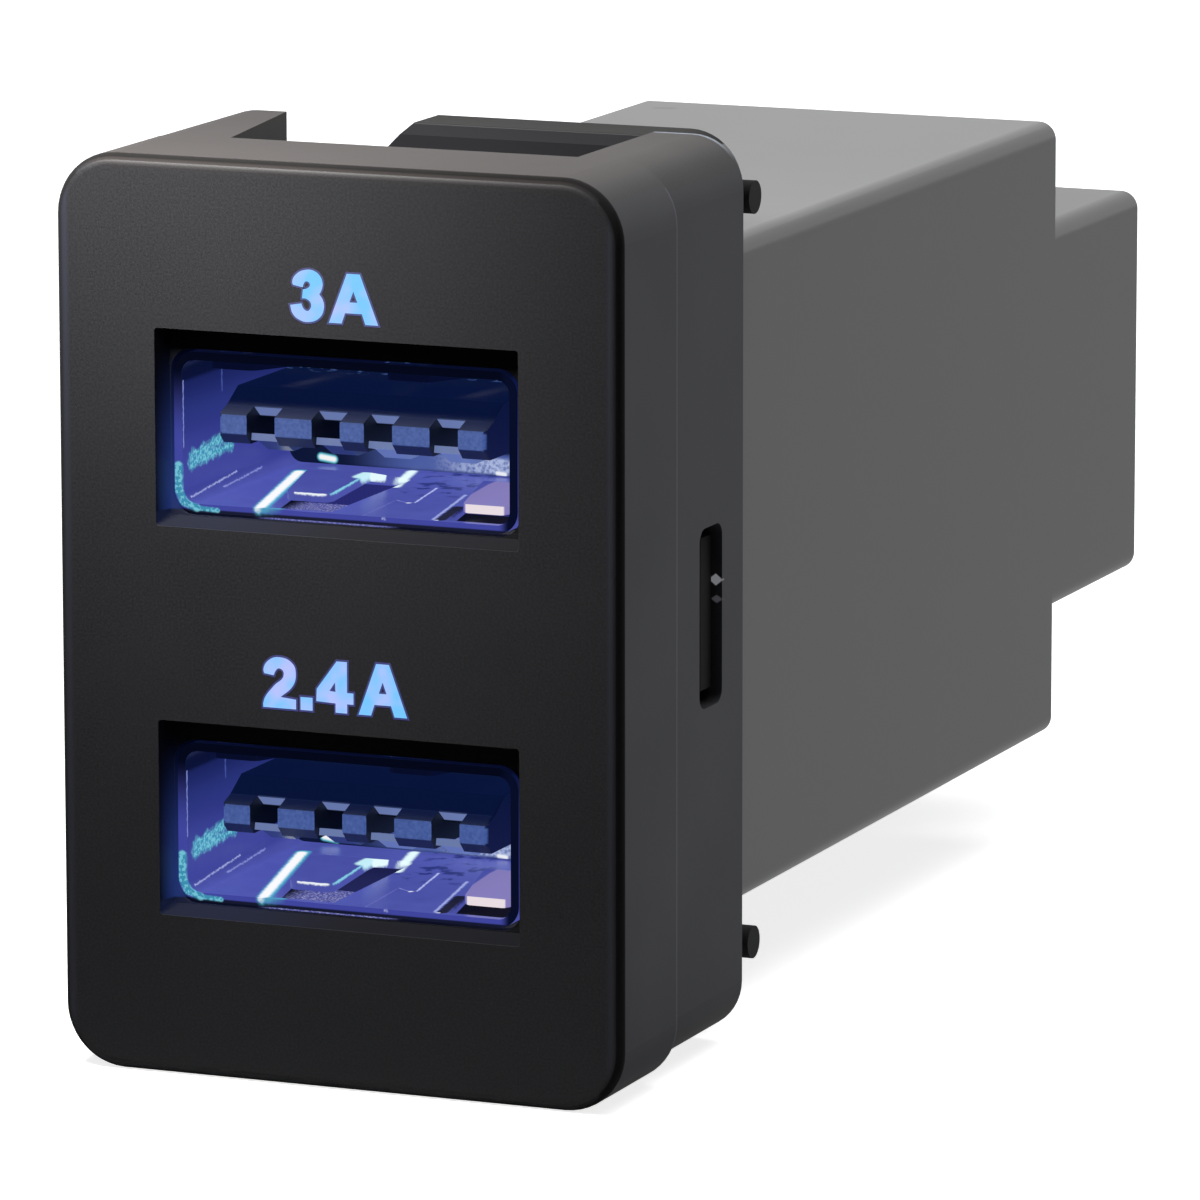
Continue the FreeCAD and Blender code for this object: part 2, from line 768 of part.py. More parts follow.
def main_board():
    """Board that lies along the housing, with holes for the header and the blades."""
    half = inner_width / 2 - board_fit
    shape = box(-half, half, main_board_front, main_board_back,
                main_board_bottom, main_board_top)
    radius = header_pin / math.sqrt(2) + pin_hole_fit
    for x in header_pin_places():
        shape = shape.cut(Part.makeCylinder(radius, main_board_thickness + 2 * overrun,
                                            vec(x, header_y, main_board_bottom - overrun)))
    for x, y in blade_pin_places():
        shape = shape.cut(box(x - blade_pin_width / 2 - pin_hole_fit,
                              x + blade_pin_width / 2 + pin_hole_fit,
                              y - pin_hole_fit, y + blade_thickness + pin_hole_fit,
                              main_board_bottom - overrun, main_board_top + overrun))
    return one_solid(shape)


def link_header():
    """Plastic block that holds the pins between the boards."""
    shape = block(0, header_length, header_y - header_depth / 2, header_y + header_depth / 2,
                  header_pin_z, header_height)
    hole = header_pin + 2 * contact_fit
    for x in header_pin_places():
        shape = shape.cut(box(x - hole / 2, x + hole / 2,
                              header_y - header_depth / 2 - overrun, header_y + hole / 2,
                              header_pin_z - hole / 2, header_pin_z + hole / 2))
        shape = shape.cut(box(x - hole / 2, x + hole / 2, header_y - hole / 2,
                              header_y + hole / 2, main_board_top - overrun, header_pin_z))
    return one_solid(shape)


def link_pins():
    """Square pins, bent once, from the front board to the main board."""
    path = [(front_board_y - header_pin_front, header_pin_z), (header_y, header_pin_z),
            (header_y, main_board_bottom - header_pin_tail)]
    return Part.makeCompound([bent_strip(path, header_pin, x, header_pin)
                              for x in header_pin_places()])


def inductor():
    """Shielded choke: a square ferrite frame with its corners cut, and a round core."""
    half = inductor_size / 2
    near = half - inductor_corner_cut
    corners = [(half, near), (near, half), (-near, half), (-half, near),
               (-half, -near), (-near, -half), (near, -half), (half, -near)]
    frame = polygon([vec(x, inductor_y + y, main_board_top) for x, y in corners])
    frame = frame.extrude(vec(0, 0, inductor_height))
    well_floor = vec(0, inductor_y, main_board_top + inductor_height - inductor_well_depth)
    well = Part.makeCylinder(inductor_core_radius + inductor_well_gap,
                             inductor_well_depth + overrun, well_floor)
    core = Part.makeCylinder(inductor_core_radius, inductor_well_depth, well_floor)
    return one_solid(frame.cut(well).fuse(core))


def capacitor(y):
    """Electrolytic can on a moulded base, with the crimp near its foot."""
    foot = main_board_top + capacitor_base
    top = main_board_top + capacitor_height
    crimp = foot + capacitor_crimp_rise
    neck = capacitor_radius - capacitor_crimp_depth
    profile = [(0, foot), (capacitor_radius, foot), (capacitor_radius, crimp),
               (neck, crimp + capacitor_crimp_height / 2),
               (capacitor_radius, crimp + capacitor_crimp_height),
               (capacitor_radius, top - capacitor_top_round),
               (capacitor_radius - capacitor_top_round, top), (0, top)]
    can = polygon([vec(r, 0, z) for r, z in profile]).revolve(vec(0, 0, 0), vec(0, 0, 1), 360)
    can.translate(vec(capacitor_x, y, 0))
    base = block(capacitor_x, 2 * capacitor_radius, y - capacitor_radius,
                 y + capacitor_radius, main_board_top + capacitor_base / 2, capacitor_base)
    return one_solid(base.fuse(can))


def chip(x, y, top_side):
    """Eight-lead chip on the upper or the lower side of the main board."""
    sign = 1 if top_side else -1
    surface = main_board_top if top_side else main_board_bottom
    shape = block(x, chip_width, y - chip_length / 2, y + chip_length / 2,
                  surface + sign * (chip_standoff + chip_height / 2), chip_height)
    knee = surface + sign * (chip_standoff + chip_height / 2)
    foot = surface + sign * chip_lead_sheet / 2
    inner = chip_width / 2 - chip_lead_shoulder
    bend = chip_width / 2 + chip_lead_shoulder
    heel = bend + chip_lead_slope
    path = [(inner, knee), (bend, knee), (heel, foot), (heel + chip_lead_foot, foot)]
    first = y - chip_lead_pitch * (chip_leads_a_side - 1) / 2 - chip_lead_width / 2
    for side in (1, -1):
        section = [vec(x + side * run, 0, z) for run, z in strip_section(path, chip_lead_sheet)]
        lead = polygon(section).extrude(vec(0, chip_lead_width, 0))
        for number in range(chip_leads_a_side):
            piece = lead.copy()
            piece.translate(vec(0, first + number * chip_lead_pitch, 0))
            shape = shape.fuse(piece)
    return one_solid(shape)


def fuse_block():
    """Flat resettable fuse with wrapped ends."""
    middle = main_board_top + fuse_height / 2
    shape = block(free_side_x, fuse_width - 2 * fuse_cap_step, input_capacitor_y - fuse_length / 2,
                  input_capacitor_y + fuse_length / 2, middle, fuse_height - 2 * fuse_cap_step)
    for end in (-1, 1):
        y0, y1 = sorted((input_capacitor_y + end * fuse_length / 2,
                         input_capacitor_y + end * (fuse_length / 2 - fuse_cap_length)))
        shape = shape.fuse(block(free_side_x, fuse_width, y0, y1, middle, fuse_height))
    return one_solid(shape)


def blade_pin_places():
    places = []
    for side in (1, -1):
        for offset in (-1, 1):
            x = side * blade_spacing / 2 + offset * (blade_width - blade_pin_width) / 2
            places.append((x, blade_foot_y))
    return places


def blade(side):
    """Flat blade that runs through the rear wall, with a foot soldered to the main board."""
    x = side * blade_spacing / 2
    path = [(blade_tip, shroud_z), (blade_foot_y + blade_thickness / 2, shroud_z),
            (blade_foot_y + blade_thickness / 2, main_board_top)]
    shape = bent_strip(path, blade_thickness, x, blade_width)
    for corner in (1, -1):
        edge = x + corner * blade_width / 2
        low = shroud_z - blade_thickness
        wedge = polygon([vec(edge, blade_tip, low),
                         vec(edge - corner * blade_tip_chamfer, blade_tip, low),
                         vec(edge, blade_tip - blade_tip_taper, low)])
        shape = shape.cut(wedge.extrude(vec(0, 0, 2 * blade_thickness)))
    for pin_x, pin_y in blade_pin_places():
        if pin_x * side > 0:
            shape = shape.fuse(box(pin_x - blade_pin_width / 2, pin_x + blade_pin_width / 2,
                                   pin_y, pin_y + blade_thickness,
                                   main_board_bottom - blade_pin_tail, main_board_top))
    return one_solid(shape)


def build():
    os.makedirs("parts", exist_ok=True)
    save("bezel", bezel())
    save("housing", housing())
    save("front_board", front_board())
    save("main_board", main_board())
    for name, port_z in ports.items():
        save("usb_shell_" + name, usb_shell(port_z))
        save("usb_insulator_" + name, usb_insulator(port_z))
        for number, x in enumerate(contact_places, 1):
            save("usb_contact_%s_%d" % (name, number), usb_contact(port_z, x))
        save("light_guide_" + name, light_guide(port_z))
        save("legend_led_" + name, lamp(port_z + guide_stem_rise))
        save("port_led_" + name, lamp(port_z - port_lamp_drop))
    save("link_header", link_header())
    save("link_pins", link_pins())
    save("inductor", inductor())
    save("input_capacitor", capacitor(input_capacitor_y))
    save("output_capacitor", capacitor(output_capacitor_y))
    save("charge_chip", chip(free_side_x, output_capacitor_y, True))
    save("converter_chip", chip(0, inductor_y, False))
    save("fuse", fuse_block())
    save("blade_positive", blade(1))
    save("blade_negative", blade(-1))


build()
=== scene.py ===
import math

import bmesh
import bpy
from mathutils import Euler, Matrix, Vector


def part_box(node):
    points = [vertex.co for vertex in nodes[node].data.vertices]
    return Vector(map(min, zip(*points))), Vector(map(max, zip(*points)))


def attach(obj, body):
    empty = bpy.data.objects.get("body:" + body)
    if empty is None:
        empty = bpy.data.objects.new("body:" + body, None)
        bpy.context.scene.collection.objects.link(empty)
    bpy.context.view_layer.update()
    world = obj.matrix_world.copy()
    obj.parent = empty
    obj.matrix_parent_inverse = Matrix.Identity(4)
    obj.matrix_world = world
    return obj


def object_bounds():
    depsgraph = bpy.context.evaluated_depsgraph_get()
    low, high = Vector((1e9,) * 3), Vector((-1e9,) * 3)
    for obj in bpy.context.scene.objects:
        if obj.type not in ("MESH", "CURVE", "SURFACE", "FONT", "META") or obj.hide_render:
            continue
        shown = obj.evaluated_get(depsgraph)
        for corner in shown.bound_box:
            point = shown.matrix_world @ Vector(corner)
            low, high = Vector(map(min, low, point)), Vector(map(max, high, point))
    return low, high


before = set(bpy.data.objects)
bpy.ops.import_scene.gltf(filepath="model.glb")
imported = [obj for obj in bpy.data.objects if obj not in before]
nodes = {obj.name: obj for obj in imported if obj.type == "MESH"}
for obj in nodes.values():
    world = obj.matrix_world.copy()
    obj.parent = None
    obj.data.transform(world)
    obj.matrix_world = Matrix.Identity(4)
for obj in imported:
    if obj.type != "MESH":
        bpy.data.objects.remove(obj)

MM = 0.001
cad_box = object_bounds()
ports = ("upper", "lower")

# Camera
# A long lens, a little above the object and to the right of its face. It takes in
# the whole part from 0.31 m away, as a product photographer's table shot does.
camera_turn = math.radians(22.47246)
camera_rise = math.radians(10.7)
camera_roll = math.radians(-0.06868)
camera_place = Vector((126.634, -282.043, 59.539)) * MM
camera_data = bpy.data.cameras.new("table_camera")
camera_data.sensor_width = 36
camera_data.lens = 270.255
camera_data.clip_start = 0.01
camera = bpy.data.objects.new("table_camera", camera_data)
bpy.context.scene.collection.objects.link(camera)
camera.matrix_world = (Matrix.Translation(camera_place)
                       @ Euler((math.pi / 2 - camera_rise, 0, camera_turn)).to_matrix().to_4x4()
                       @ Matrix.Rotation(camera_roll, 4, "Z"))
bpy.context.scene.camera = camera
bpy.context.scene.view_settings.view_transform = "Standard"

# Floor and light
# A white table runs back into a white wall, which the sides and tops mirror at a slant.
# The room in front is dark. A small soft box hangs close to the face, and a large one
# over the back.
floor_gap = 0.02 * MM
floor_size = 6.0
card_lift = 0.8
front_box_place = Vector((-14, -18, 39)) * MM
front_box_aim = Vector((-6, 0, 14)) * MM
front_box_spread = math.radians(72)
front_box_size = 14 * MM
front_box_power = 0.0098
top_box_place = Vector((90, 190, 520)) * MM
top_box_aim = Vector((0, 30, 0)) * MM
top_box_size = 450 * MM
top_box_power = 2.6
room_level = 0.1
dark_towards = -0.25
white_towards = 0.5
darkest = 0.02
dark_front = -25 * MM
white_back = 42 * MM
floor_gloss = 0.6


def linear(code):
    """sRGB hex as linear red, green, blue and alpha."""
    channels = [int(code[start:start + 2], 16) / 255 for start in (0, 2, 4)]
    return tuple(c / 12.92 if c <= 0.04045 else ((c + 0.055) / 1.055) ** 2.4
                 for c in channels) + (1.0,)


def add(tree, kind, inputs=None, **settings):
    """Adds a node. Each input is a value, or an output of another node to link."""
    made = tree.nodes.new(kind)
    for name, value in settings.items():
        setattr(made, name, value)
    for socket, value in (inputs or {}).items():
        if isinstance(value, bpy.types.NodeSocket):
            tree.links.new(value, made.inputs[socket])
        else:
            made.inputs[socket].default_value = value
    return made


def new_tree(name):
    """Empty material with nodes."""
    material = bpy.data.materials.new(name)
    material.use_nodes = True
    material.node_tree.nodes.clear()
    return material, material.node_tree


def finish_tree(tree, shader):
    """Leads a shader to the material's surface."""
    add(tree, "ShaderNodeOutputMaterial", {"Surface": shader.outputs[0]})


def mirrored_ray(tree, ray):
    """1 for a ray that comes off metal or gloss, or through glass."""
    return add(tree, "ShaderNodeMath", {0: ray.outputs["Is Glossy Ray"],
                                        1: ray.outputs["Is Transmission Ray"]},
               operation="MAXIMUM").outputs[0]


def table_paper():
    """White card, lifted to white for the camera. In reflections it darkens to the front."""
    material, tree = new_tree("white card")
    matt = add(tree, "ShaderNodeBsdfDiffuse", {"Color": linear("ededed")})
    lift = add(tree, "ShaderNodeEmission", {"Color": linear("ffffff"), "Strength": card_lift})
    card = add(tree, "ShaderNodeAddShader", {0: matt.outputs[0], 1: lift.outputs[0]})
    place = add(tree, "ShaderNodeTexCoord")
    parts = add(tree, "ShaderNodeSeparateXYZ", {0: place.outputs["Object"]})
    depth = add(tree, "ShaderNodeMapRange", {"Value": parts.outputs["Y"], "From Min": dark_front,
                                             "From Max": white_back,
                                             "To Max": floor_gloss},
                interpolation_type="SMOOTHSTEP")
    sweep = add(tree, "ShaderNodeEmission", {"Color": linear("ffffff"),
                                             "Strength": depth.outputs[0]})
    ray = add(tree, "ShaderNodeLightPath")
    bounced = add(tree, "ShaderNodeMixShader", {0: mirrored_ray(tree, ray),
                                                1: matt.outputs[0], 2: sweep.outputs[0]})
    mixed = add(tree, "ShaderNodeMixShader", {0: ray.outputs["Is Camera Ray"],
                                              1: bounced.outputs[0], 2: card.outputs[0]})
    finish_tree(tree, mixed)
    return material


shape = bmesh.new()
bmesh.ops.create_grid(shape, x_segments=1, y_segments=1, size=floor_size / 2,
                      matrix=Matrix.Translation((0, 0, cad_box[0][2] - floor_gap)))
floor_mesh = bpy.data.meshes.new("table")
shape.to_mesh(floor_mesh)
shape.free()
floor = bpy.data.objects.new("table", floor_mesh)
bpy.context.scene.collection.objects.link(floor)
floor_mesh.materials.append(table_paper())


def soft_box(name, place, aim, side, power, spread=math.pi):
    """Square lamp that faces the aim point and isn't seen itself."""
    data = bpy.data.lights.new(name, "AREA")
    data.shape = "SQUARE"
    data.size = side
    data.energy = power
    data.spread = spread
    lamp = bpy.data.objects.new(name, data)
    lamp.location = place
    lamp.rotation_euler = (aim - place).to_track_quat("-Z", "Y").to_euler()
    lamp.visible_camera = False
    bpy.context.scene.collection.objects.link(lamp)


soft_box("front box", front_box_place, front_box_aim, front_box_size, front_box_power,
         front_box_spread)
soft_box("top box", top_box_place, top_box_aim, top_box_size, top_box_power)

world = bpy.data.worlds.new("studio")
bpy.context.scene.world = world
world.use_nodes = True
world.node_tree.nodes.clear()
sky = world.node_tree
ray = add(sky, "ShaderNodeLightPath")
towards = add(sky, "ShaderNodeTexCoord")
parts = add(sky, "ShaderNodeSeparateXYZ", {0: towards.outputs["Generated"]})
depth = add(sky, "ShaderNodeMapRange", {"Value": parts.outputs["Y"],
                                        "From Min": dark_towards, "From Max": white_towards,
                                        "To Min": darkest},
            interpolation_type="SMOOTHSTEP")
seen = add(sky, "ShaderNodeBackground", {"Color": linear("ffffff"), "Strength": 1.0})
wall = add(sky, "ShaderNodeBackground", {"Color": linear("ffffff"),
                                         "Strength": depth.outputs[0]})
room = add(sky, "ShaderNodeBackground", {"Color": linear("ffffff"), "Strength": room_level})
bounced = add(sky, "ShaderNodeMixShader", {0: mirrored_ray(sky, ray),
                                           1: room.outputs[0], 2: wall.outputs[0]})
studio = add(sky, "ShaderNodeMixShader", {0: ray.outputs["Is Camera Ray"],
                                          1: bounced.outputs[0], 2: seen.outputs[0]})
add(sky, "ShaderNodeOutputWorld", {"Surface": studio.outputs[0]})

# Bezel
# The moulding that the driver sees: black ABS with a fine spark-eroded grain, which keeps its
# sheen low. It clips over the housing's latch teeth. The blue that the lamps behind the sockets
# cast on its windows is painted in as a glow.
bezel_grain = 0.085
mould_cloud = 6
port_heights = [(low[2] + high[2]) / 2 / MM
                for low, high in (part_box("usb_shell_" + port) for port in ports)]
port_middle = port_heights[0]
port_pitch = port_heights[0] - port_heights[1]
face_half_width = cad_box[1][0] / MM
# Where the painted shade, highlights and glow lie on the moulding, in mm. Window heights count
# from its socket's middle, and a pair is a near and a far end.
side_band = face_half_width - 0.5
edge_rounding = (0.03, 0.38)
flat_half_width = 7.6
flat_half_height = 12.0
top_shade = (0.1, 0.32)
side_shade = (0.03, 0.36)
shade_height = 15.6
shade_reach = 9.9
brow_height = 16.1
rear_rim = (12.1, 12.4)
rear_rim_height = 15.4
rear_rim_width = (7.0, 9.8)
step = (5.1, 5.22)
window_half_width = 7.2
window_low = -3.6
window_high = 3.8
window_depth = 5.0
window_margin = 0.1
left_jamb = -6.3
jamb_glow = (3.2, -2.6)
sill_top = -2.8
sill_lip = 0.9
slot_wall = (10.1, 10.5)
skin = 0.02
far = 99
# Each glint in a latch slot: its middle in x and z and half its width and height, in mm,
# and its colour.
slot_glints = ((10.16, 0.82, 0.3, 0.24, "6c6d71"), (10.2, 0.12, 0.24, 0.17, "36363a"))


def dress(names, material):
    """Gives the named parts one material."""
    for name in names:
        part = nodes[name]
        part.data.materials.clear()
        part.data.materials.append(material)


def millimetres(tree):
    """Place on the part in mm, as a vector and as x, y and z."""
    place = add(tree, "ShaderNodeTexCoord")
    scaled = add(tree, "ShaderNodeVectorMath", {0: place.outputs["Object"], "Scale": 1 / MM},
                 operation="SCALE")
    parts = add(tree, "ShaderNodeSeparateXYZ", {0: scaled.outputs[0]})
    return scaled.outputs[0], parts.outputs[0], parts.outputs[1], parts.outputs[2]


def in_port(tree):
    """As millimetres, with z from the middle of the nearer socket."""
    place, x, y, z = millimetres(tree)
    rise = add(tree, "ShaderNodeMath", {0: z, 1: port_middle}, operation="SUBTRACT")
    z = add(tree, "ShaderNodeMath", {0: rise.outputs[0], 1: port_pitch / 2, 2: -port_pitch / 2},
            operation="WRAP").outputs[0]
    place = add(tree, "ShaderNodeCombineXYZ", {0: x, 1: y, 2: z}).outputs[0]
    return place, x, y, z


def within(tree, *limits):
    """1 where each value lies between its limits. A limit is (value, low, high, softness)."""
    mask = None
    for value, low, high, soft in limits:
        rise = add(tree, "ShaderNodeMapRange", {"Value": value, "From Min": low - soft,
                                                "From Max": low + soft},
                   interpolation_type="SMOOTHSTEP").outputs[0]
        fall = add(tree, "ShaderNodeMapRange", {"Value": value, "From Min": high - soft,
                                                "From Max": high + soft,
                                                "To Min": 1.0, "To Max": 0.0},
                   interpolation_type="SMOOTHSTEP").outputs[0]
        for part in (rise, fall):
            mask = part if mask is None else add(tree, "ShaderNodeMath", {0: mask, 1: part},
                                                 operation="MULTIPLY").outputs[0]
    return mask


def layered(tree, tint, layers):
    """Colours laid over the first one, each through its own mask."""
    for mask, code in layers:
        tint = add(tree, "ShaderNodeMix", {"Factor": mask, 6: tint, 7: linear(code)},
                   data_type="RGBA").outputs[2]
    return tint


def grained_abs():
    """Black ABS from a spark-eroded mould. The grain keeps it dull and dark from the front, and it
    greys where it is seen at a slant. Its sides and top are painted lighter for that sheen. Its
    edges, window walls and slots carry painted shade and highlights, and its windows a painted
    blue glow."""
    material, tree = new_tree("black ABS, spark grained")
    _, x, y, z = in_port(tree)
    side = add(tree, "ShaderNodeMath", {0: x}, operation="ABSOLUTE").outputs[0]
    whole, _, _, tall = millimetres(tree)
    height = add(tree, "ShaderNodeMath", {0: tall}, operation="ABSOLUTE").outputs[0]
    grain = add(tree, "ShaderNodeTexNoise", {"Vector": whole, "Scale": 1 / bezel_grain,
                                             "Detail": 3.0, "Roughness": 0.65})
    cloud = add(tree, "ShaderNodeTexNoise", {"Vector": whole, "Scale": 1 / mould_cloud,
                                             "Detail": 2.0})
    mottle = add(tree, "ShaderNodeMapRange", {"Value": grain.outputs["Fac"], "From Min": 0.35,
                                              "From Max": 0.65})
    tint = add(tree, "ShaderNodeMix", {"Factor": mottle.outputs[0],
                                       6: linear("151517"), 7: linear("222225")},
               data_type="RGBA").outputs[2]
    # The side faces are painted a lighter blue-grey for the sheen they show at a slant.
    side_sheen = within(tree, (side, side_band, far, 0.1))
    middle = within(tree, (side, -far, flat_half_width, 0.1),
                    (height, -far, flat_half_height, 0.1))
    rounding = within(tree, (y, *edge_rounding, 0.03))
    rounding = add(tree, "ShaderNodeMath", {0: rounding, 1: middle}, operation="SUBTRACT",
                   use_clamp=True).outputs[0]
    # A painted dark line of shade along the rounded top edge.
    top_edge_shade = within(tree, (y, *top_shade, 0.04), (height, shade_height, far, 0.1))
    # A painted dark band of shade along the rounded side edges.
    side_edge_shade = within(tree, (y, *side_shade, 0.03), (side, shade_reach, far, 0.1))
    # The top face is painted a lighter, warmer tone for its sheen.
    bezel_top_sheen = within(tree, (tall, brow_height, far, 0.3))
    # A painted highlight along the rear rim of the top.
    rear_edge_highlight = within(tree, (y, *rear_rim, 0.04), (tall, rear_rim_height, far, 0.3),
                       (x, *rear_rim_width, 0.4))
    # A painted light line, a highlight along the step on the sides.
    step_highlight = within(tree, (y, *step, 0.03), (side, side_band + 0.05, far, 0.05))
    # The window's walls are painted near-black, as shade.
    shaded_window_walls = within(tree, (side, -far, window_half_width, 0.05), (y, skin, window_depth, 0.01),
                    (z, window_low, window_high, 0.05))
    tint = layered(tree, tint, ((bezel_top_sheen, "272220"), (side_sheen, "22232b"), (top_edge_shade, "060403"),
                                (side_edge_shade, "050405"), (rear_edge_highlight, "7c8490"),
                                (step_highlight, "44484f"), (shaded_window_walls, "040406")))
    bump = add(tree, "ShaderNodeBump", {"Height": grain.outputs["Fac"],
                                        "Strength": 0.16, "Distance": 0.02 * MM})
    # Painted blue light of the lamps: a glow on the window's left jamb and sill, and on the grain
    # of the collar seen through the shell's holes.
    left_glow = within(tree, (x, -far, left_jamb, 0.25))
    low = add(tree, "ShaderNodeMapRange", {"Value": z, "From Min": jamb_glow[0],
                                           "From Max": jamb_glow[1]},
              interpolation_type="SMOOTHSTEP").outputs[0]
    deep = add(tree, "ShaderNodeMapRange", {"Value": y, "From Max": 0.8}).outputs[0]
    for fade in (low, deep):
        left_glow = add(tree, "ShaderNodeMath", {0: left_glow, 1: fade},
                        operation="MULTIPLY").outputs[0]
    sill = within(tree, (z, window_low, sill_top, 0.05), (y, skin, window_depth, 0.02),
                  (side, -far, window_half_width + window_margin, 0.05))
    sill_left = within(tree, (z, window_low, sill_top, 0.05), (y, skin, sill_lip, 0.02),
                       (x, -far, -2.0, 3.0))
    holes_glow = within(tree, (z, -3.05, -2.85, 0.02), (y, 1.0, 4.7, 0.05), (x, -3.2, 1.5, 0.5))
    lit_grain = within(tree, (grain.outputs["Fac"], 0.55, far, 0.05))
    lit_grain = add(tree, "ShaderNodeMath", {0: lit_grain, 1: holes_glow}, operation="MULTIPLY").outputs[0]
    glow = layered(tree, linear("000000"), ((left_glow, "1d2e68"), (sill, "05060b"),
                                            (sill_left, "0f1630"), (holes_glow, "484c94"),
                                            (lit_grain, "9a9cc8")))
    inside = within(tree, (side, -far, window_half_width + window_margin, 0.02),
                    (z, window_low - window_margin, window_high + window_margin, 0.02),
                    (y, skin / 2, window_depth, 0.01))
    glow = add(tree, "ShaderNodeMix", {"Factor": inside, 6: linear("000000"), 7: glow},
               data_type="RGBA").outputs[2]
    slot_rear = within(tree, (x, 9.4, far, 0.02), (y, *slot_wall, 0.02))
    for middle_x, middle_z, width, height, code in slot_glints:
        across = add(tree, "ShaderNodeMath", {0: x, 1: -middle_x}, operation="ADD").outputs[0]
        across = add(tree, "ShaderNodeMath", {0: across}, operation="ABSOLUTE").outputs[0]
        up = add(tree, "ShaderNodeMath", {0: tall, 1: -middle_z}, operation="ADD").outputs[0]
        up = add(tree, "ShaderNodeMath", {0: up}, operation="ABSOLUTE").outputs[0]
        reach = add(tree, "ShaderNodeMath", {0: across, 1: width}, operation="DIVIDE").outputs[0]
        reach = add(tree, "ShaderNodeMath", {0: up, 1: 1 / height, 2: reach},
                    operation="MULTIPLY_ADD").outputs[0]
        diamond = add(tree, "ShaderNodeMath", {0: slot_rear,
                                               1: within(tree, (reach, -far, 0.9, 0.1))},
                      operation="MULTIPLY").outputs[0]
        glow = layered(tree, glow, ((diamond, code),))
    rough = add(tree, "ShaderNodeMapRange", {"Value": cloud.outputs["Fac"],
                                             "To Min": 0.5, "To Max": 0.6})
    rough = rough.outputs[0]
    for dull in (rounding, sill):
        rough = add(tree, "ShaderNodeMath", {0: rough, 1: dull}, operation="MAXIMUM").outputs[0]
    finish_tree(tree, add(tree, "ShaderNodeBsdfPrincipled",
                          {"Base Color": tint, "Specular IOR Level": 0.35, "Roughness": rough,
                           "Normal": bump.outputs[0], "Emission Color": glow,
                           "Emission Strength": 1.0}))
    return material


dress(["bezel"], grained_abs())

# Housing
# The box behind the bezel, with the bars, nubs and connector shroud: dark grey
# glass-filled PBT, smooth from a polished mould.
housing_speck = 0.12
melt_flow = 9
# Where the box is painted darker or lighter, in mm: the top bar and the nubs are darker, the latch
# teeth are painted in shade and the top is painted lighter for its sheen.
bar_foot = 12.5
bar_chamfer = 13.02
bar_rear = 15.4
bar_ridge = 15.72
nub_reach = 8.4
nub_depth = (13.2, 14.8)
nub_height = 11.5
tooth_reach = 9.0
tooth_depth = (8.0, 10.6)
tooth_height = (-3.8, 3.2)
top_start = 15.5
top_height = 12.1
smudge_ends = ((-7.1, 47.5, 12.25), (-6.7, 47.6, 12.25))


def stroke(tree, place, start, end, width, soft):
    """1 within half a width of the line between two points, in mm."""
    run = Vector(end) - Vector(start)
    offset = add(tree, "ShaderNodeVectorMath", {0: place, 1: start}, operation="SUBTRACT")
    along = add(tree, "ShaderNodeVectorMath", {0: offset.outputs[0],
                                               1: tuple(run / run.length_squared)},
                operation="DOT_PRODUCT")
    part = add(tree, "ShaderNodeClamp", {"Value": along.outputs["Value"]})
    nearest = add(tree, "ShaderNodeVectorMath", {0: tuple(run), "Scale": part.outputs[0]},
                  operation="SCALE")
    gap = add(tree, "ShaderNodeVectorMath", {0: offset.outputs[0], 1: nearest.outputs[0]},
              operation="DISTANCE")
    return add(tree, "ShaderNodeMapRange", {"Value": gap.outputs["Value"],
                                            "From Min": width / 2 + soft,
                                            "From Max": max(width / 2 - soft, 0.0)},
               interpolation_type="SMOOTHSTEP").outputs[0]


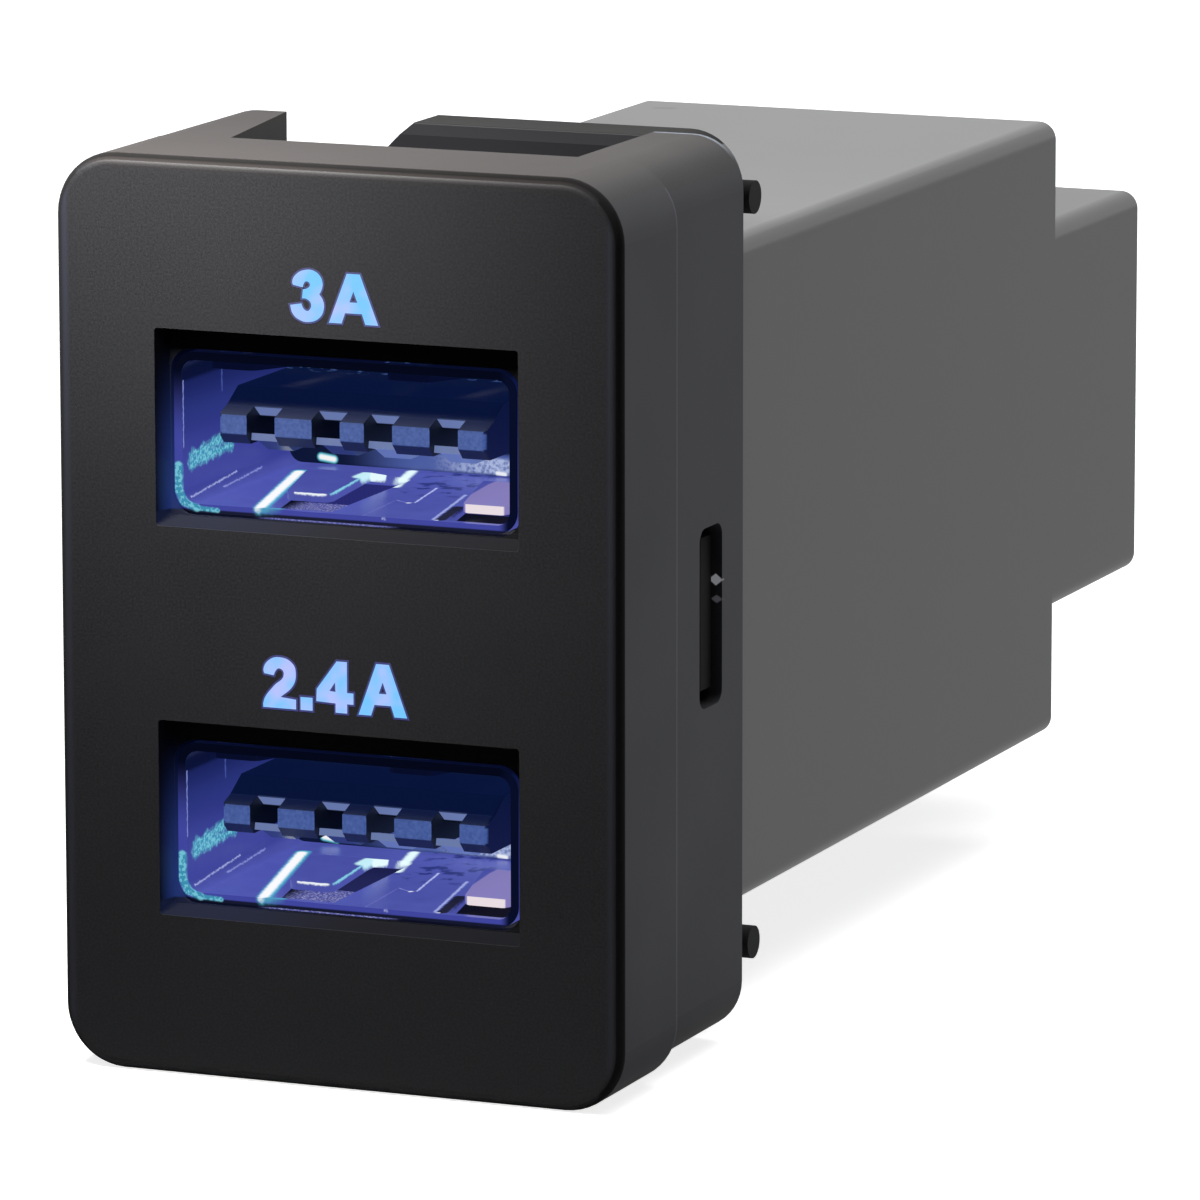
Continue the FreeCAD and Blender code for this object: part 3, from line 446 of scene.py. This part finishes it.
def satin_pbt():
    """Dark grey PBT, moulded. Its satin skin mirrors the white wall at a slant, so the sides and
    tops look much lighter than the colour itself. The top is painted lighter still for that sheen,
    and the latch teeth are painted in shade."""
    material, tree = new_tree("dark grey PBT, moulded")
    place, x, y, z = millimetres(tree)
    side = add(tree, "ShaderNodeMath", {0: x}, operation="ABSOLUTE").outputs[0]
    tall = add(tree, "ShaderNodeMath", {0: z}, operation="ABSOLUTE").outputs[0]
    speck = add(tree, "ShaderNodeTexNoise", {"Vector": place, "Scale": 1 / housing_speck,
                                             "Detail": 2.0})
    flow = add(tree, "ShaderNodeTexNoise", {"Vector": place, "Scale": 1 / melt_flow,
                                            "Detail": 3.0})
    tint = add(tree, "ShaderNodeMix", {"Factor": flow.outputs["Fac"],
                                       6: linear("38383a"), 7: linear("414143")},
               data_type="RGBA").outputs[2]
    bar_top = within(tree, (y, bar_chamfer, bar_rear, 0.04), (z, bar_ridge, far, 0.04))
    bar_front = within(tree, (y, bar_foot, bar_chamfer, 0.03), (z, bar_foot, far, 0.1))
    nub = within(tree, (side, nub_reach, far, 0.1), (y, *nub_depth, 0.1),
                 (tall, nub_height, far, 0.2))
    smudge = stroke(tree, place, *smudge_ends, 0.5, 0.2)
    # The latch teeth, deep in the bezel's slots, are painted near-black shade.
    shaded_tooth = within(tree, (side, tooth_reach, far, 0.02), (y, *tooth_depth, 0.02),
                   (z, *tooth_height, 0.02))
    # The top is painted lighter for the sheen of the white wall it mirrors.
    housing_top_sheen = within(tree, (y, top_start, far, 0.2), (z, top_height, far, 0.05))
    tint = layered(tree, tint, ((housing_top_sheen, "535353"), (bar_front, "141316"), (bar_top, "0a0806"),
                                (nub, "1c1c1e"), (smudge, "222222"), (shaded_tooth, "030304")))
    rough = add(tree, "ShaderNodeMapRange", {"Value": flow.outputs["Fac"],
                                             "To Min": 0.28, "To Max": 0.31})
    rough = rough.outputs[0]
    for dull in (bar_top, bar_front, shaded_tooth, nub):
        rough = add(tree, "ShaderNodeMath", {0: rough, 1: dull}, operation="MAXIMUM").outputs[0]
    bump = add(tree, "ShaderNodeBump", {"Height": speck.outputs["Fac"],
                                        "Strength": 0.1, "Distance": 0.02 * MM})
    finish_tree(tree, add(tree, "ShaderNodeBsdfPrincipled",
                          {"Base Color": tint, "Roughness": rough,
                           "Normal": bump.outputs[0]}))
    return material


dress(["housing"], satin_pbt())

# Sockets
# Each USB-A shell is folded from thin nickel-plated steel. The light of the blue lamps behind it
# is painted into its glow, so the plating glows indigo and its cut edges flare white and cyan.


def ragged(tree, place, grain, reach):
    """The place, shaken by a fine noise, so that what is drawn on it has a rough edge."""
    noise = add(tree, "ShaderNodeTexNoise", {"Vector": place, "Scale": 1 / grain, "Detail": 2.0})
    centred = add(tree, "ShaderNodeVectorMath", {0: noise.outputs["Color"], 1: (0.5, 0.5, 0.5)},
                  operation="SUBTRACT")
    shake = add(tree, "ShaderNodeVectorMath", {0: centred.outputs[0], "Scale": reach},
                operation="SCALE")
    return add(tree, "ShaderNodeVectorMath", {0: place, 1: shake.outputs[0]},
               operation="ADD").outputs[0]


# Each painted flare of light on a cut edge, and one painted shadow: its two ends in mm, from the
# middle of the socket, its width, its softness and its colour.
floor_flares_and_shadow = (
    ((-3.3, 1.0, -2.56), (-5.1, 8.3, -2.56), 0.54, 0.1, "4fb6d2"),
    ((-3.33, 0.95, -2.56), (-5.1, 8.2, -2.56), 0.36, 0.08, "ffffff"),
    ((-3.1, 0.86, -2.56), (-2.6, 1.0, -2.56), 0.3, 0.15, "4f9fc0"),
    ((-2.4, 1.9, -2.12), (-1.08, 1.9, -2.12), 0.11, 0.05, "f4fbff"),
    ((-1.06, 1.95, -2.11), (-1.05, 4.85, -1.9), 0.1, 0.05, "8ad8ea"),
    ((-1.15, 4.7, -1.9), (-1.15, 5.5, -1.9), 0.5, 0.1, "c8f4fc"),
    ((-1.05, 5.5, -2.05), (-1.05, 6.6, -2.2), 0.36, 0.08, "e8ffff"),
    ((-0.64, 6.6, -2.56), (-1.35, 9.75, -2.56), 0.36, 0.1, "e8ffff"),
    # A painted shadow beside the right hole, not a flare.
    ((3.5, 1.15, -2.56), (3.1, 3.6, -2.56), 0.4, 0.06, "120d18"),
    ((0.66, 0.85, -2.56), (0.5, 4.0, -2.56), 0.03, 0.03, "6a6ec0"),
    ((0.48, 4.14, -2.56), (1.11, 3.75, -2.56), 0.05, 0.03, "8a8ed8"),
    ((1.11, 3.75, -2.56), (1.15, 3.8, -2.56), 0.14, 0.05, "f0f4ff"),
    ((1.31, 3.9, -2.56), (0.85, 6.9, -2.56), 0.07, 0.04, "c0c8ff"),
    ((3.37, 1.0, -2.56), (3.42, 1.0, -2.56), 0.12, 0.04, "e0e4ff"),
    ((1.45, 0.84, -2.62), (1.5, 0.84, -2.62), 0.1, 0.04, "c0c8f4"),
    ((3.24, 1.05, -2.56), (2.35, 6.0, -2.56), 0.1, 0.05, "a4b0e8"),
    ((-6.11, 1.2, -2.41), (-6.24, 5.34, -2.16), 0.05, 0.03, "a8b0e8"),
    ((-6.04, 3.79, -2.47), (-6.17, 7.33, -2.33), 0.05, 0.03, "8c94dc"),
    ((-6.25, 0.92, 1.75), (-6.25, 0.92, -0.6), 0.07, 0.03, "8894d8"),
    ((-6.25, 4.16, 1.95), (-6.25, 4.16, 0.95), 0.07, 0.05, "4454a0"),
)
# The same without a colour, for the cyan ones.
rim_flares = (
    ((-6.4, 0.8, -1.24), (-6.4, 0.8, -2.1), 0.3, 0.05),
    ((-6.4, 0.8, -2.1), (-6.2, 0.8, -2.52), 0.3, 0.05),
    ((-6.2, 0.8, -2.52), (-5.7, 0.8, -2.7), 0.26, 0.05),
    ((-5.7, 0.8, -2.7), (-4.9, 0.8, -2.74), 0.16, 0.04),
)
wall_flares = (
    ((-6.25, 1.5, -1.28), (-6.25, 4.9, -1.15), 0.34, 0.12),
    ((-6.25, 2.2, -0.98), (-6.25, 4.5, -0.72), 0.34, 0.12),
    ((-6.25, 1.5, -1.0), (-6.25, 3.0, -0.95), 0.3, 0.12),
)
rub_and_glow_scale = 0.8
plating_speck = 0.12
# Where the painted glow and shade lie in a shell, in mm from its socket's middle.
shell_front = 0.82
shell_wall = 6.0
shell_roof = 1.75
tab_x = (3.7, 5.9)
tab_y = (1.85, 5.7)
tab_z = (-2.4, -1.8)
glow_strength = 0.95
edge_shake = 0.15
burr = 0.3


def nickel_steel():
    """Nickel plate on folded steel, rubbed by plugs. The blue light of the lamps behind it is
    painted into its glow rather than a grey of its own, with painted shade towards the roof and
    painted highlights on its tab and cut edges."""
    material, tree = new_tree("nickel-plated steel, lit blue")
    place, x, y, z = in_port(tree)
    side = add(tree, "ShaderNodeMath", {0: x}, operation="ABSOLUTE").outputs[0]
    rub_and_glow = add(tree, "ShaderNodeTexNoise", {"Vector": place, "Scale": 1 / rub_and_glow_scale,
                                           "Detail": 4.0})
    fine = add(tree, "ShaderNodeTexNoise", {"Vector": place, "Scale": 1 / plating_speck,
                                            "Detail": 3.0})
    rough = add(tree, "ShaderNodeMapRange", {"Value": rub_and_glow.outputs["Fac"],
                                             "To Min": 0.29, "To Max": 0.42})
    sheen = add(tree, "ShaderNodeMix", {"Factor": rub_and_glow.outputs["Fac"],
                                        6: linear("444a9c"), 7: linear("5058ae")},
                data_type="RGBA").outputs[2]
    wall = within(tree, (side, shell_wall + 0.05, far, 0.15), (z, -2.3, far, 0.2))
    wall_middle = within(tree, (side, shell_wall, far, 0.15), (z, -0.2, far, 1.2))
    wall_top = within(tree, (side, shell_wall, far, 0.15), (z, 1.5, far, 1.3))
    roof = within(tree, (z, shell_roof, far, 0.1), (side, -far, shell_wall + 0.3, 0.1))
    rim = within(tree, (y, -far, shell_front, 0.01))
    shaded_upper_rim = within(tree, (y, -far, shell_front, 0.01), (z, 0.9, far, 1.4))
    rim_low = within(tree, (y, -far, shell_front, 0.01), (z, -far, -2.74, 0.03),
                     (side, -far, shell_wall + 0.2, 0.3))
    shaded_right_rim = within(tree, (y, -far, shell_front, 0.01), (x, shell_wall, far, 0.2))
    lit_tab = within(tree, (x, *tab_x, 0.05), (y, *tab_y, 0.1), (z, *tab_z, 0.05))
    tab_front_highlight = within(tree, (x, 3.8, 5.9, 0.05), (y, 1.8, 1.96, 0.02), (z, -2.5, -2.0, 0.02))
    shaded_patches = within(tree, (rub_and_glow.outputs["Fac"], -far, 0.42, 0.05), (x, -0.5, 2.4, 0.3),
                     (y, 5.5, 11, 0.5), (z, -3, -2.4, 0.1))
    # These colours are emission. They are painted blue light on the walls, rim, floor and tab, and
    # painted shade towards the roof, on the upper, right and lower rim and in patches on the
    # floor.
    tint = layered(tree, sheen, ((wall, "3a4096"), (wall_middle, "273078"),
                                 (wall_top, "0b1540"), (roof, "060c28"), (rim, "4046a0"),
                                 (shaded_upper_rim, "04081a"), (shaded_right_rim, "080e28"),
                                 (rim_low, "12162e"), (lit_tab, "857cb8"),
                                 (tab_front_highlight, "eee2e6"), (shaded_patches, "232a70")))
    shaken = ragged(tree, place, edge_shake, 0.12)
    tint = layered(tree, tint, [(stroke(tree, shaken, start, end, width, soft), code)
                                for start, end, width, soft, code in floor_flares_and_shadow])
    flare_speckle = within(tree, (fine.outputs["Fac"], 0.5, far, 0.04))
    cyan = layered(tree, linear("3c90b2"), ((flare_speckle, "74c4d8"),))
    rough_place = ragged(tree, place, burr, 0.45)
    for spot, flares in ((place, rim_flares), (rough_place, wall_flares)):
        for start, end, width, soft in flares:
            mask = stroke(tree, spot, start, end, width, soft)
            tint = add(tree, "ShaderNodeMix", {"Factor": mask, 6: tint, 7: cyan},
                       data_type="RGBA").outputs[2]
    # The upper and right rim are also painted dark in the base colour, as shade.
    plating = layered(tree, linear("3c3c46"), ((shaded_upper_rim, "0a0a10"), (shaded_right_rim, "0a0a10")))
    finish_tree(tree, add(tree, "ShaderNodeBsdfPrincipled",
                          {"Base Color": plating, "Metallic": 1.0,
                           "Roughness": rough.outputs[0], "Emission Color": tint,
                           "Emission Strength": glow_strength}))
    return material


dress(["usb_shell_upper", "usb_shell_lower"], nickel_steel())
nylon_cloud = 0.35
nylon_speck = 0.12
# Where the tongue's forms lie, in mm from its socket's middle.
contact_places = (-3.5, -1.0, 1.0, 3.5)
base_front = 9.8
nose_start = 1.42
nose_end = 2.05
tongue_root = 9.79
channel_rear = 9.6
channel_half_width = 0.56
pocket = (2.1, 2.57)
strip_z = (-2.5, -1.75)
# Each spot of light on the base: its two ends in x and z, its width and its colour.
base_flares = ((-4.95, -2.27, -4.45, -2.33, 0.3, "5fc6dc"),
               (-4.95, -2.27, -4.45, -2.33, 0.18, "ffffff"),
               (1.95, -2.42, 2.25, -2.45, 0.14, "f4f8ff"))


def lit_nylon():
    """Grey glass-filled nylon of the tongue and base, moulded. The light of the lamps is painted
    into its glow, which turns its blunt nose blue-grey and leaves the rest a mottled navy, with
    painted shade in the contact channels."""
    material, tree = new_tree("grey nylon, lit blue")
    place, x, y, z = in_port(tree)
    mottle = add(tree, "ShaderNodeTexNoise", {"Vector": place, "Scale": 1 / nylon_cloud,
                                              "Detail": 4.0})
    fine = add(tree, "ShaderNodeTexNoise", {"Vector": place, "Scale": 1 / nylon_speck,
                                            "Detail": 3.0})
    nose = add(tree, "ShaderNodeMix", {"Factor": fine.outputs["Fac"],
                                       6: linear("243c80"), 7: linear("5a74b8")},
               data_type="RGBA").outputs[2]
    top = within(tree, (y, nose_end, tongue_root, 0.06), (z, 0.5, far, 0.1))
    bevel = within(tree, (y, nose_start, nose_end + 0.03, 0.03), (z, 0.5, 0.95, 0.04))
    below = within(tree, (y, nose_start, tongue_root, 0.03), (z, -far, -0.04, 0.04))
    flank = within(tree, (x, 5.0, far, 0.02), (y, 1.5, tongue_root, 0.05))
    rear = within(tree, (y, 9.7, far, 0.03))
    rear_cloud = within(tree, (y, 6.0, far, 1.0), (mottle.outputs["Fac"], 0.45, far, 0.08),
                        (z, 0.9, far, 0.3))
    glow_streaks = within(tree, (y, 7.0, far, 0.5), (mottle.outputs["Fac"], 0.6, far, 0.03),
                     (z, 0.5, far, 0.2))
    strip = within(tree, (y, 9.7, far, 0.03), (z, *strip_z, 0.1), (x, -2.6, far, 1.6))
    strip_bright = within(tree, (y, 9.7, far, 0.03), (z, -2.45, -1.9, 0.08), (x, 0.3, far, 1.2),
                          (fine.outputs["Fac"], 0.42, far, 0.25))
    # These colours are emission. They are painted light of the lamps on the nose, strip, pockets
    # and streaks, and painted shade on the top, bevel, underside, flanks and rear.
    layers = [(top, "08143a"), (bevel, "121c40"), (below, "0f1a44"), (flank, "081234"),
              (rear, "07112c"), (strip, "4c5ea4"), (strip_bright, "b4c2e8"),
              (rear_cloud, "0c1738"), (glow_streaks, "3c568e")]
    # Each contact channel is painted near-black shade, and the roof of its pocket is painted
    # light.
    for middle in contact_places:
        channel = (x, middle - channel_half_width, middle + channel_half_width, 0.01)
        roof = (x, middle - channel_half_width + 0.02, middle + channel_half_width - 0.02, 0.01)
        layers.append((within(tree, channel, (y, nose_start + 0.03, channel_rear, 0.02),
                              (z, -far, 0.8, 0.01)), "02040c"))
        layers.append((within(tree, roof, (y, *pocket, 0.02), (z, 0.42, 0.83, 0.02)),
                       "6a7bb0"))
    tint = layered(tree, nose, layers)
    for start_x, start_z, end_x, end_z, width, code in base_flares:
        spot = stroke(tree, place, (start_x, base_front, start_z), (end_x, base_front, end_z),
                      width, 0.05)
        tint = layered(tree, tint, ((spot, code),))
    finish_tree(tree, add(tree, "ShaderNodeBsdfPrincipled",
                          {"Base Color": linear("0a0e18"), "Roughness": 0.5,
                           "Emission Color": tint, "Emission Strength": 0.9}))
    return material


dress(["usb_insulator_upper", "usb_insulator_lower"], lit_nylon())


contact_wear = 0.4
contact_tip = 1.9
contact_root = 9.0


def gold_plate():
    """Gold flash on sprung bronze, worn a little by plugs. At the front it is painted a dull grey
    and given a painted blue glow for the light in the socket."""
    material, tree = new_tree("gold plate on bronze")
    place, x, y, _ = millimetres(tree)
    wear = add(tree, "ShaderNodeTexNoise", {"Vector": place, "Scale": 1 / contact_wear,
                                            "Detail": 3.0})
    tint = add(tree, "ShaderNodeMix", {"Factor": wear.outputs["Fac"],
                                       6: linear("e0b860"), 7: linear("c69a48")},
               data_type="RGBA").outputs[2]
    # Towards the front the gold is painted a dull grey, and a painted blue glow stands in for the
    # socket's light.
    front = within(tree, (y, -far, contact_root, 0.5))
    tint = layered(tree, tint, ((front, "4a4a50"),))
    glow = layered(tree, linear("000000"),
                   ((within(tree, (y, -far, contact_tip, 0.05)), "6878a6"),
                    (within(tree, (y, contact_tip, contact_root, 0.05)), "1c2a58"),
                    (within(tree, (y, contact_tip + 0.05, contact_root, 0.05),
                            (x, 0.2, far, 0.3)), "5a6ca4")))
    rough = add(tree, "ShaderNodeMapRange", {"Value": wear.outputs["Fac"],
                                             "To Min": 0.2, "To Max": 0.38})
    finish_tree(tree, add(tree, "ShaderNodeBsdfPrincipled",
                          {"Base Color": tint, "Metallic": 1.0, "Roughness": rough.outputs[0],
                           "Emission Color": glow, "Emission Strength": 1.0}))
    return material


contacts = ["usb_contact_%s_%d" % (port, number) for port in ports for number in (1, 2, 3, 4)]
dress(contacts + ["link_pins"], gold_plate())

# Boards and their parts
# Glass-epoxy boards under green solder mask, with moulded chips, a ferrite choke and
# drawn aluminium capacitors. Little of it shows until the housing is opened.
board_weave = 0.5
lit_board_depth = 14.6
speck_swing = 0.08


def solder_mask():
    """Green solder mask, printed over glass cloth that shows through as faint bands. The indigo
    light of the lamps on the front board is painted in as a glow."""
    material, tree = new_tree("green solder mask")
    place, _, y, _ = millimetres(tree)
    weave = add(tree, "ShaderNodeTexWave", {"Vector": place, "Scale": 1 / board_weave,
                                            "Distortion": 1.5})
    tint = add(tree, "ShaderNodeMix", {"Factor": weave.outputs["Fac"],
                                       6: linear("0e4a24"), 7: linear("155a2e")},
               data_type="RGBA")
    glow = layered(tree, linear("000000"),
                   ((within(tree, (y, -far, lit_board_depth, 0.05)), "28286e"),))
    finish_tree(tree, add(tree, "ShaderNodeBsdfPrincipled",
                          {"Base Color": tint.outputs[2], "Roughness": 0.3,
                           "Emission Color": glow, "Emission Strength": 1.0}))
    return material


def speckled(name, dark, pale, grain, roughness, metallic=0.0):
    """Moulded, pressed, drawn or plated surface, which a fine speckle keeps from being flat."""
    material, tree = new_tree(name)
    place = millimetres(tree)[0]
    speck = add(tree, "ShaderNodeTexNoise", {"Vector": place, "Scale": 1 / grain, "Detail": 3.0})
    tint = add(tree, "ShaderNodeMix", {"Factor": speck.outputs["Fac"],
                                       6: linear(dark), 7: linear(pale)}, data_type="RGBA")
    rough = add(tree, "ShaderNodeMapRange", {"Value": speck.outputs["Fac"],
                                             "To Min": roughness - speck_swing,
                                             "To Max": roughness + speck_swing})
    bump = add(tree, "ShaderNodeBump", {"Height": speck.outputs["Fac"],
                                        "Strength": 0.1, "Distance": 0.02 * MM})
    finish_tree(tree, add(tree, "ShaderNodeBsdfPrincipled",
                          {"Base Color": tint.outputs[2], "Metallic": metallic,
                           "Roughness": rough.outputs[0], "Normal": bump.outputs[0]}))
    return material


dress(["front_board", "main_board"], solder_mask())
dress(["link_header", "charge_chip", "converter_chip"],
      speckled("black moulded epoxy", "0f0f10", "1a1a1c", 0.15, 0.5))
dress(["inductor"], speckled("pressed ferrite", "26262a", "34343a", 0.2, 0.6))
dress(["input_capacitor", "output_capacitor"],
      speckled("drawn aluminium", "b4b6ba", "c6c8cc", 0.3, 0.3, 1.0))
dress(["fuse"], speckled("ochre dipped coating", "7d5a16", "8f6a20", 0.4, 0.35))
dress(["blade_positive", "blade_negative"],
      speckled("tin plate on brass", "bdbbb4", "cfcdc6", 0.5, 0.28, 1.0))

# Lamps and light guides
# White lamp bodies on the front board, and clear polycarbonate guides that carry
# their light to the back of each rating.
guide_haze = 1.5
dress(["%s_led_%s" % (kind, port) for kind in ("legend", "port") for port in ports],
      speckled("white lamp body", "d8dcec", "eef0f8", 0.3, 0.35))


def clear_polycarbonate():
    """Clear polycarbonate, moulded and polished, with a little haze and a faint blue light
    inside it."""
    material, tree = new_tree("clear polycarbonate, lit")
    haze = add(tree, "ShaderNodeTexNoise", {"Vector": millimetres(tree)[0],
                                            "Scale": 1 / guide_haze, "Detail": 2.0})
    rough = add(tree, "ShaderNodeMapRange", {"Value": haze.outputs["Fac"],
                                             "To Min": 0.08, "To Max": 0.2})
    finish_tree(tree, add(tree, "ShaderNodeBsdfPrincipled",
                          {"Base Color": linear("e4eefc"), "Transmission Weight": 0.7,
                           "IOR": 1.58, "Roughness": rough.outputs[0],
                           "Emission Color": linear("4a6cb0"), "Emission Strength": 0.1}))
    return material


dress(["light_guide_" + port for port in ports], clear_polycarbonate())

# Lit ratings
# The current of each socket, cut by laser through the black coat, so that the lamp
# behind shines through the white skin. Each is a thin raised layer on the face, over a
# wider one for the faint fringe of light that leaks round the cut.
legend_lift = 0.02
legend_depth = 0.03
glyph_depth = 0.01
fringe_lift = 0.01
fringe_reach = 0.07
curve_steps = 5
light_cloud = 1.4
leak_cloud = 0.3
# Outlines in mm from each glyph's lower left corner. A third number marks a round point.
digit_three = (((0.69, 1.91, 1), (0.96, 1.89, 1), (1.2, 1.74, 1), (1.33, 1.46, 1), (1.31, 1.25, 1),
                (1.2, 1.02), (1.33, 0.84, 1), (1.38, 0.52, 1), (1.2, 0.155, 1), (0.76, -0.025, 1),
                (0.39, 0.04, 1), (0.12, 0.255, 1), (0.02, 0.57), (0.47, 0.65),
                (0.556, 0.465, 1), (0.69, 0.385, 1), (0.79, 0.42, 1), (0.86, 0.66, 1),
                (0.69, 0.826, 1), (0.505, 0.84), (0.54, 1.18), (0.69, 1.21, 1),
                (0.826, 1.365, 1), (0.69, 1.48, 1), (0.556, 1.345, 1), (0.54, 1.25),
                (0.15, 1.32), (0.11, 1.42, 1), (0.29, 1.74, 1)),)
letter_a = (((0, 0), (0.51, 0), (0.65, 0.39), (1.33, 0.39), (1.47, 0), (1.98, 0), (1.25, 1.85),
             (0.73, 1.85)), ((0.99, 1.21), (0.83, 0.8), (1.15, 0.8)))
digit_two = (((0.02, 1.36, 1), (0.05, 1.21), (0.44, 1.16), (0.51, 1.31, 1), (0.68, 1.42, 1),
              (0.86, 1.24, 1), (0.44, 0.78, 1), (0.07, 0.34, 1), (0, 0.14), (0, 0), (1.35, 0),
              (1.35, 0.345), (0.72, 0.4), (1.24, 0.85, 1), (1.35, 1.26, 1), (1.24, 1.6, 1),
              (0.68, 1.82, 1), (0.23, 1.68, 1)),)
point = (((0, 0), (0.49, 0), (0.49, 0.46), (0, 0.46)),)
digit_four = (((0.79, 0), (1.26, 0), (1.26, 0.33), (1.52, 0.33), (1.52, 0.73), (1.26, 0.73),
               (1.26, 1.83), (0.84, 1.83), (0.02, 0.8), (0, 0.36), (0.79, 0.33)),
              ((0.77, 1.08), (0.54, 0.76), (0.79, 0.74)))
# Each rating: its glyphs with their starts, its middle in x and z, its width and its height.
legends = (("rating_upper", ((digit_three, 0), (letter_a, 1.58)), 0.0, 11.84, 3.34, 1.85),
           ("rating_lower", ((digit_two, 0), (point, 1.54), (digit_four, 2.19),
                             (letter_a, 3.92)), -0.07, -1.93, 5.51, 1.85))


def lit_legend():
    """White plastic with a blue lamp behind it, which drifts from sky blue to violet."""
    material, tree = new_tree("white skin, lit blue")
    cloud = add(tree, "ShaderNodeTexNoise", {"Vector": in_port(tree)[0],
                                             "Scale": 1 / light_cloud, "Detail": 2.0})
    spread = add(tree, "ShaderNodeMapRange", {"Value": cloud.outputs["Fac"], "From Min": 0.42,
                                              "From Max": 0.66})
    tint = add(tree, "ShaderNodeMix", {"Factor": spread.outputs[0],
                                       6: linear("72c6ff"), 7: linear("b6c2ff")},
               data_type="RGBA")
    finish_tree(tree, add(tree, "ShaderNodeBsdfPrincipled",
                          {"Base Color": linear("202838"), "Roughness": 0.5,
                           "Emission Color": tint.outputs[2], "Emission Strength": 0.97}))
    return material


def leaked_light():
    """Black coat worn thin at the laser's cut, so that it glows a deep indigo there."""
    material, tree = new_tree("black coat, fringed with light")
    cloud = add(tree, "ShaderNodeTexNoise", {"Vector": in_port(tree)[0],
                                             "Scale": 1 / leak_cloud, "Detail": 2.0})
    tint = add(tree, "ShaderNodeMix", {"Factor": cloud.outputs["Fac"],
                                       6: linear("26286c"), 7: linear("383a8c")},
               data_type="RGBA")
    finish_tree(tree, add(tree, "ShaderNodeBsdfPrincipled",
                          {"Base Color": linear("27272a"), "Roughness": 0.6,
                           "Emission Color": tint.outputs[2], "Emission Strength": 0.8}))
    return material


def sign_curve(name, glyphs):
    """Filled flat curve of the glyphs, each moved right to its place."""
    curve = bpy.data.curves.new(name, "CURVE")
    curve.dimensions = "2D"
    curve.fill_mode = "BOTH"
    curve.resolution_u = curve_steps
    for loops, start in glyphs:
        for loop in loops:
            spline = curve.splines.new("BEZIER")
            spline.bezier_points.add(len(loop) - 1)
            spline.use_cyclic_u = True
            for knot, spot in zip(spline.bezier_points, loop):
                knot.co = (spot[0] + start, spot[1], 0)
                knot.handle_left_type = "AUTO" if len(spot) == 3 else "VECTOR"
                knot.handle_right_type = knot.handle_left_type
    return curve


def sign_mesh(name, curve):
    """Mesh of a curve, and its lowest and highest corners."""
    sign = bpy.data.objects.new(name + "_curve", curve)
    bpy.context.scene.collection.objects.link(sign)
    bpy.context.view_layer.update()
    mesh = bpy.data.meshes.new_from_object(sign)
    bpy.data.objects.remove(sign)
    low = Vector([min(v.co[axis] for v in mesh.vertices) for axis in range(3)])
    high = Vector([max(v.co[axis] for v in mesh.vertices) for axis in range(3)])
    return mesh, low, high


legend_material = lit_legend()
fringe_material = leaked_light()
for name, glyphs, middle_x, middle_z, width, height in legends:
    curve = sign_curve(name, glyphs)
    curve.extrude = glyph_depth
    plain, low, high = sign_mesh(name, curve)
    curve.offset = fringe_reach
    wide = sign_mesh(name + "_fringe", curve)[0]
    size = high - low
    middle = (low + high) / 2
    for mesh, title, lift, finish in ((plain, name, legend_lift, legend_material),
                                      (wide, name + "_fringe", fringe_lift, fringe_material)):
        mesh.transform(Matrix.Translation(-middle))
        mesh.transform(Matrix.Diagonal((width / size.x * MM, height / size.y * MM,
                                        legend_depth / size.z * MM, 1)))
        mesh.transform(Matrix.Translation((middle_x * MM, (legend_depth / 2 - lift) * MM,
                                           middle_z * MM))
                       @ Matrix.Rotation(math.pi / 2, 4, "X"))
        rating = bpy.data.objects.new(title, mesh)
        bpy.context.scene.collection.objects.link(rating)
        mesh.materials.clear()
        mesh.materials.append(finish)
        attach(rating, "root")
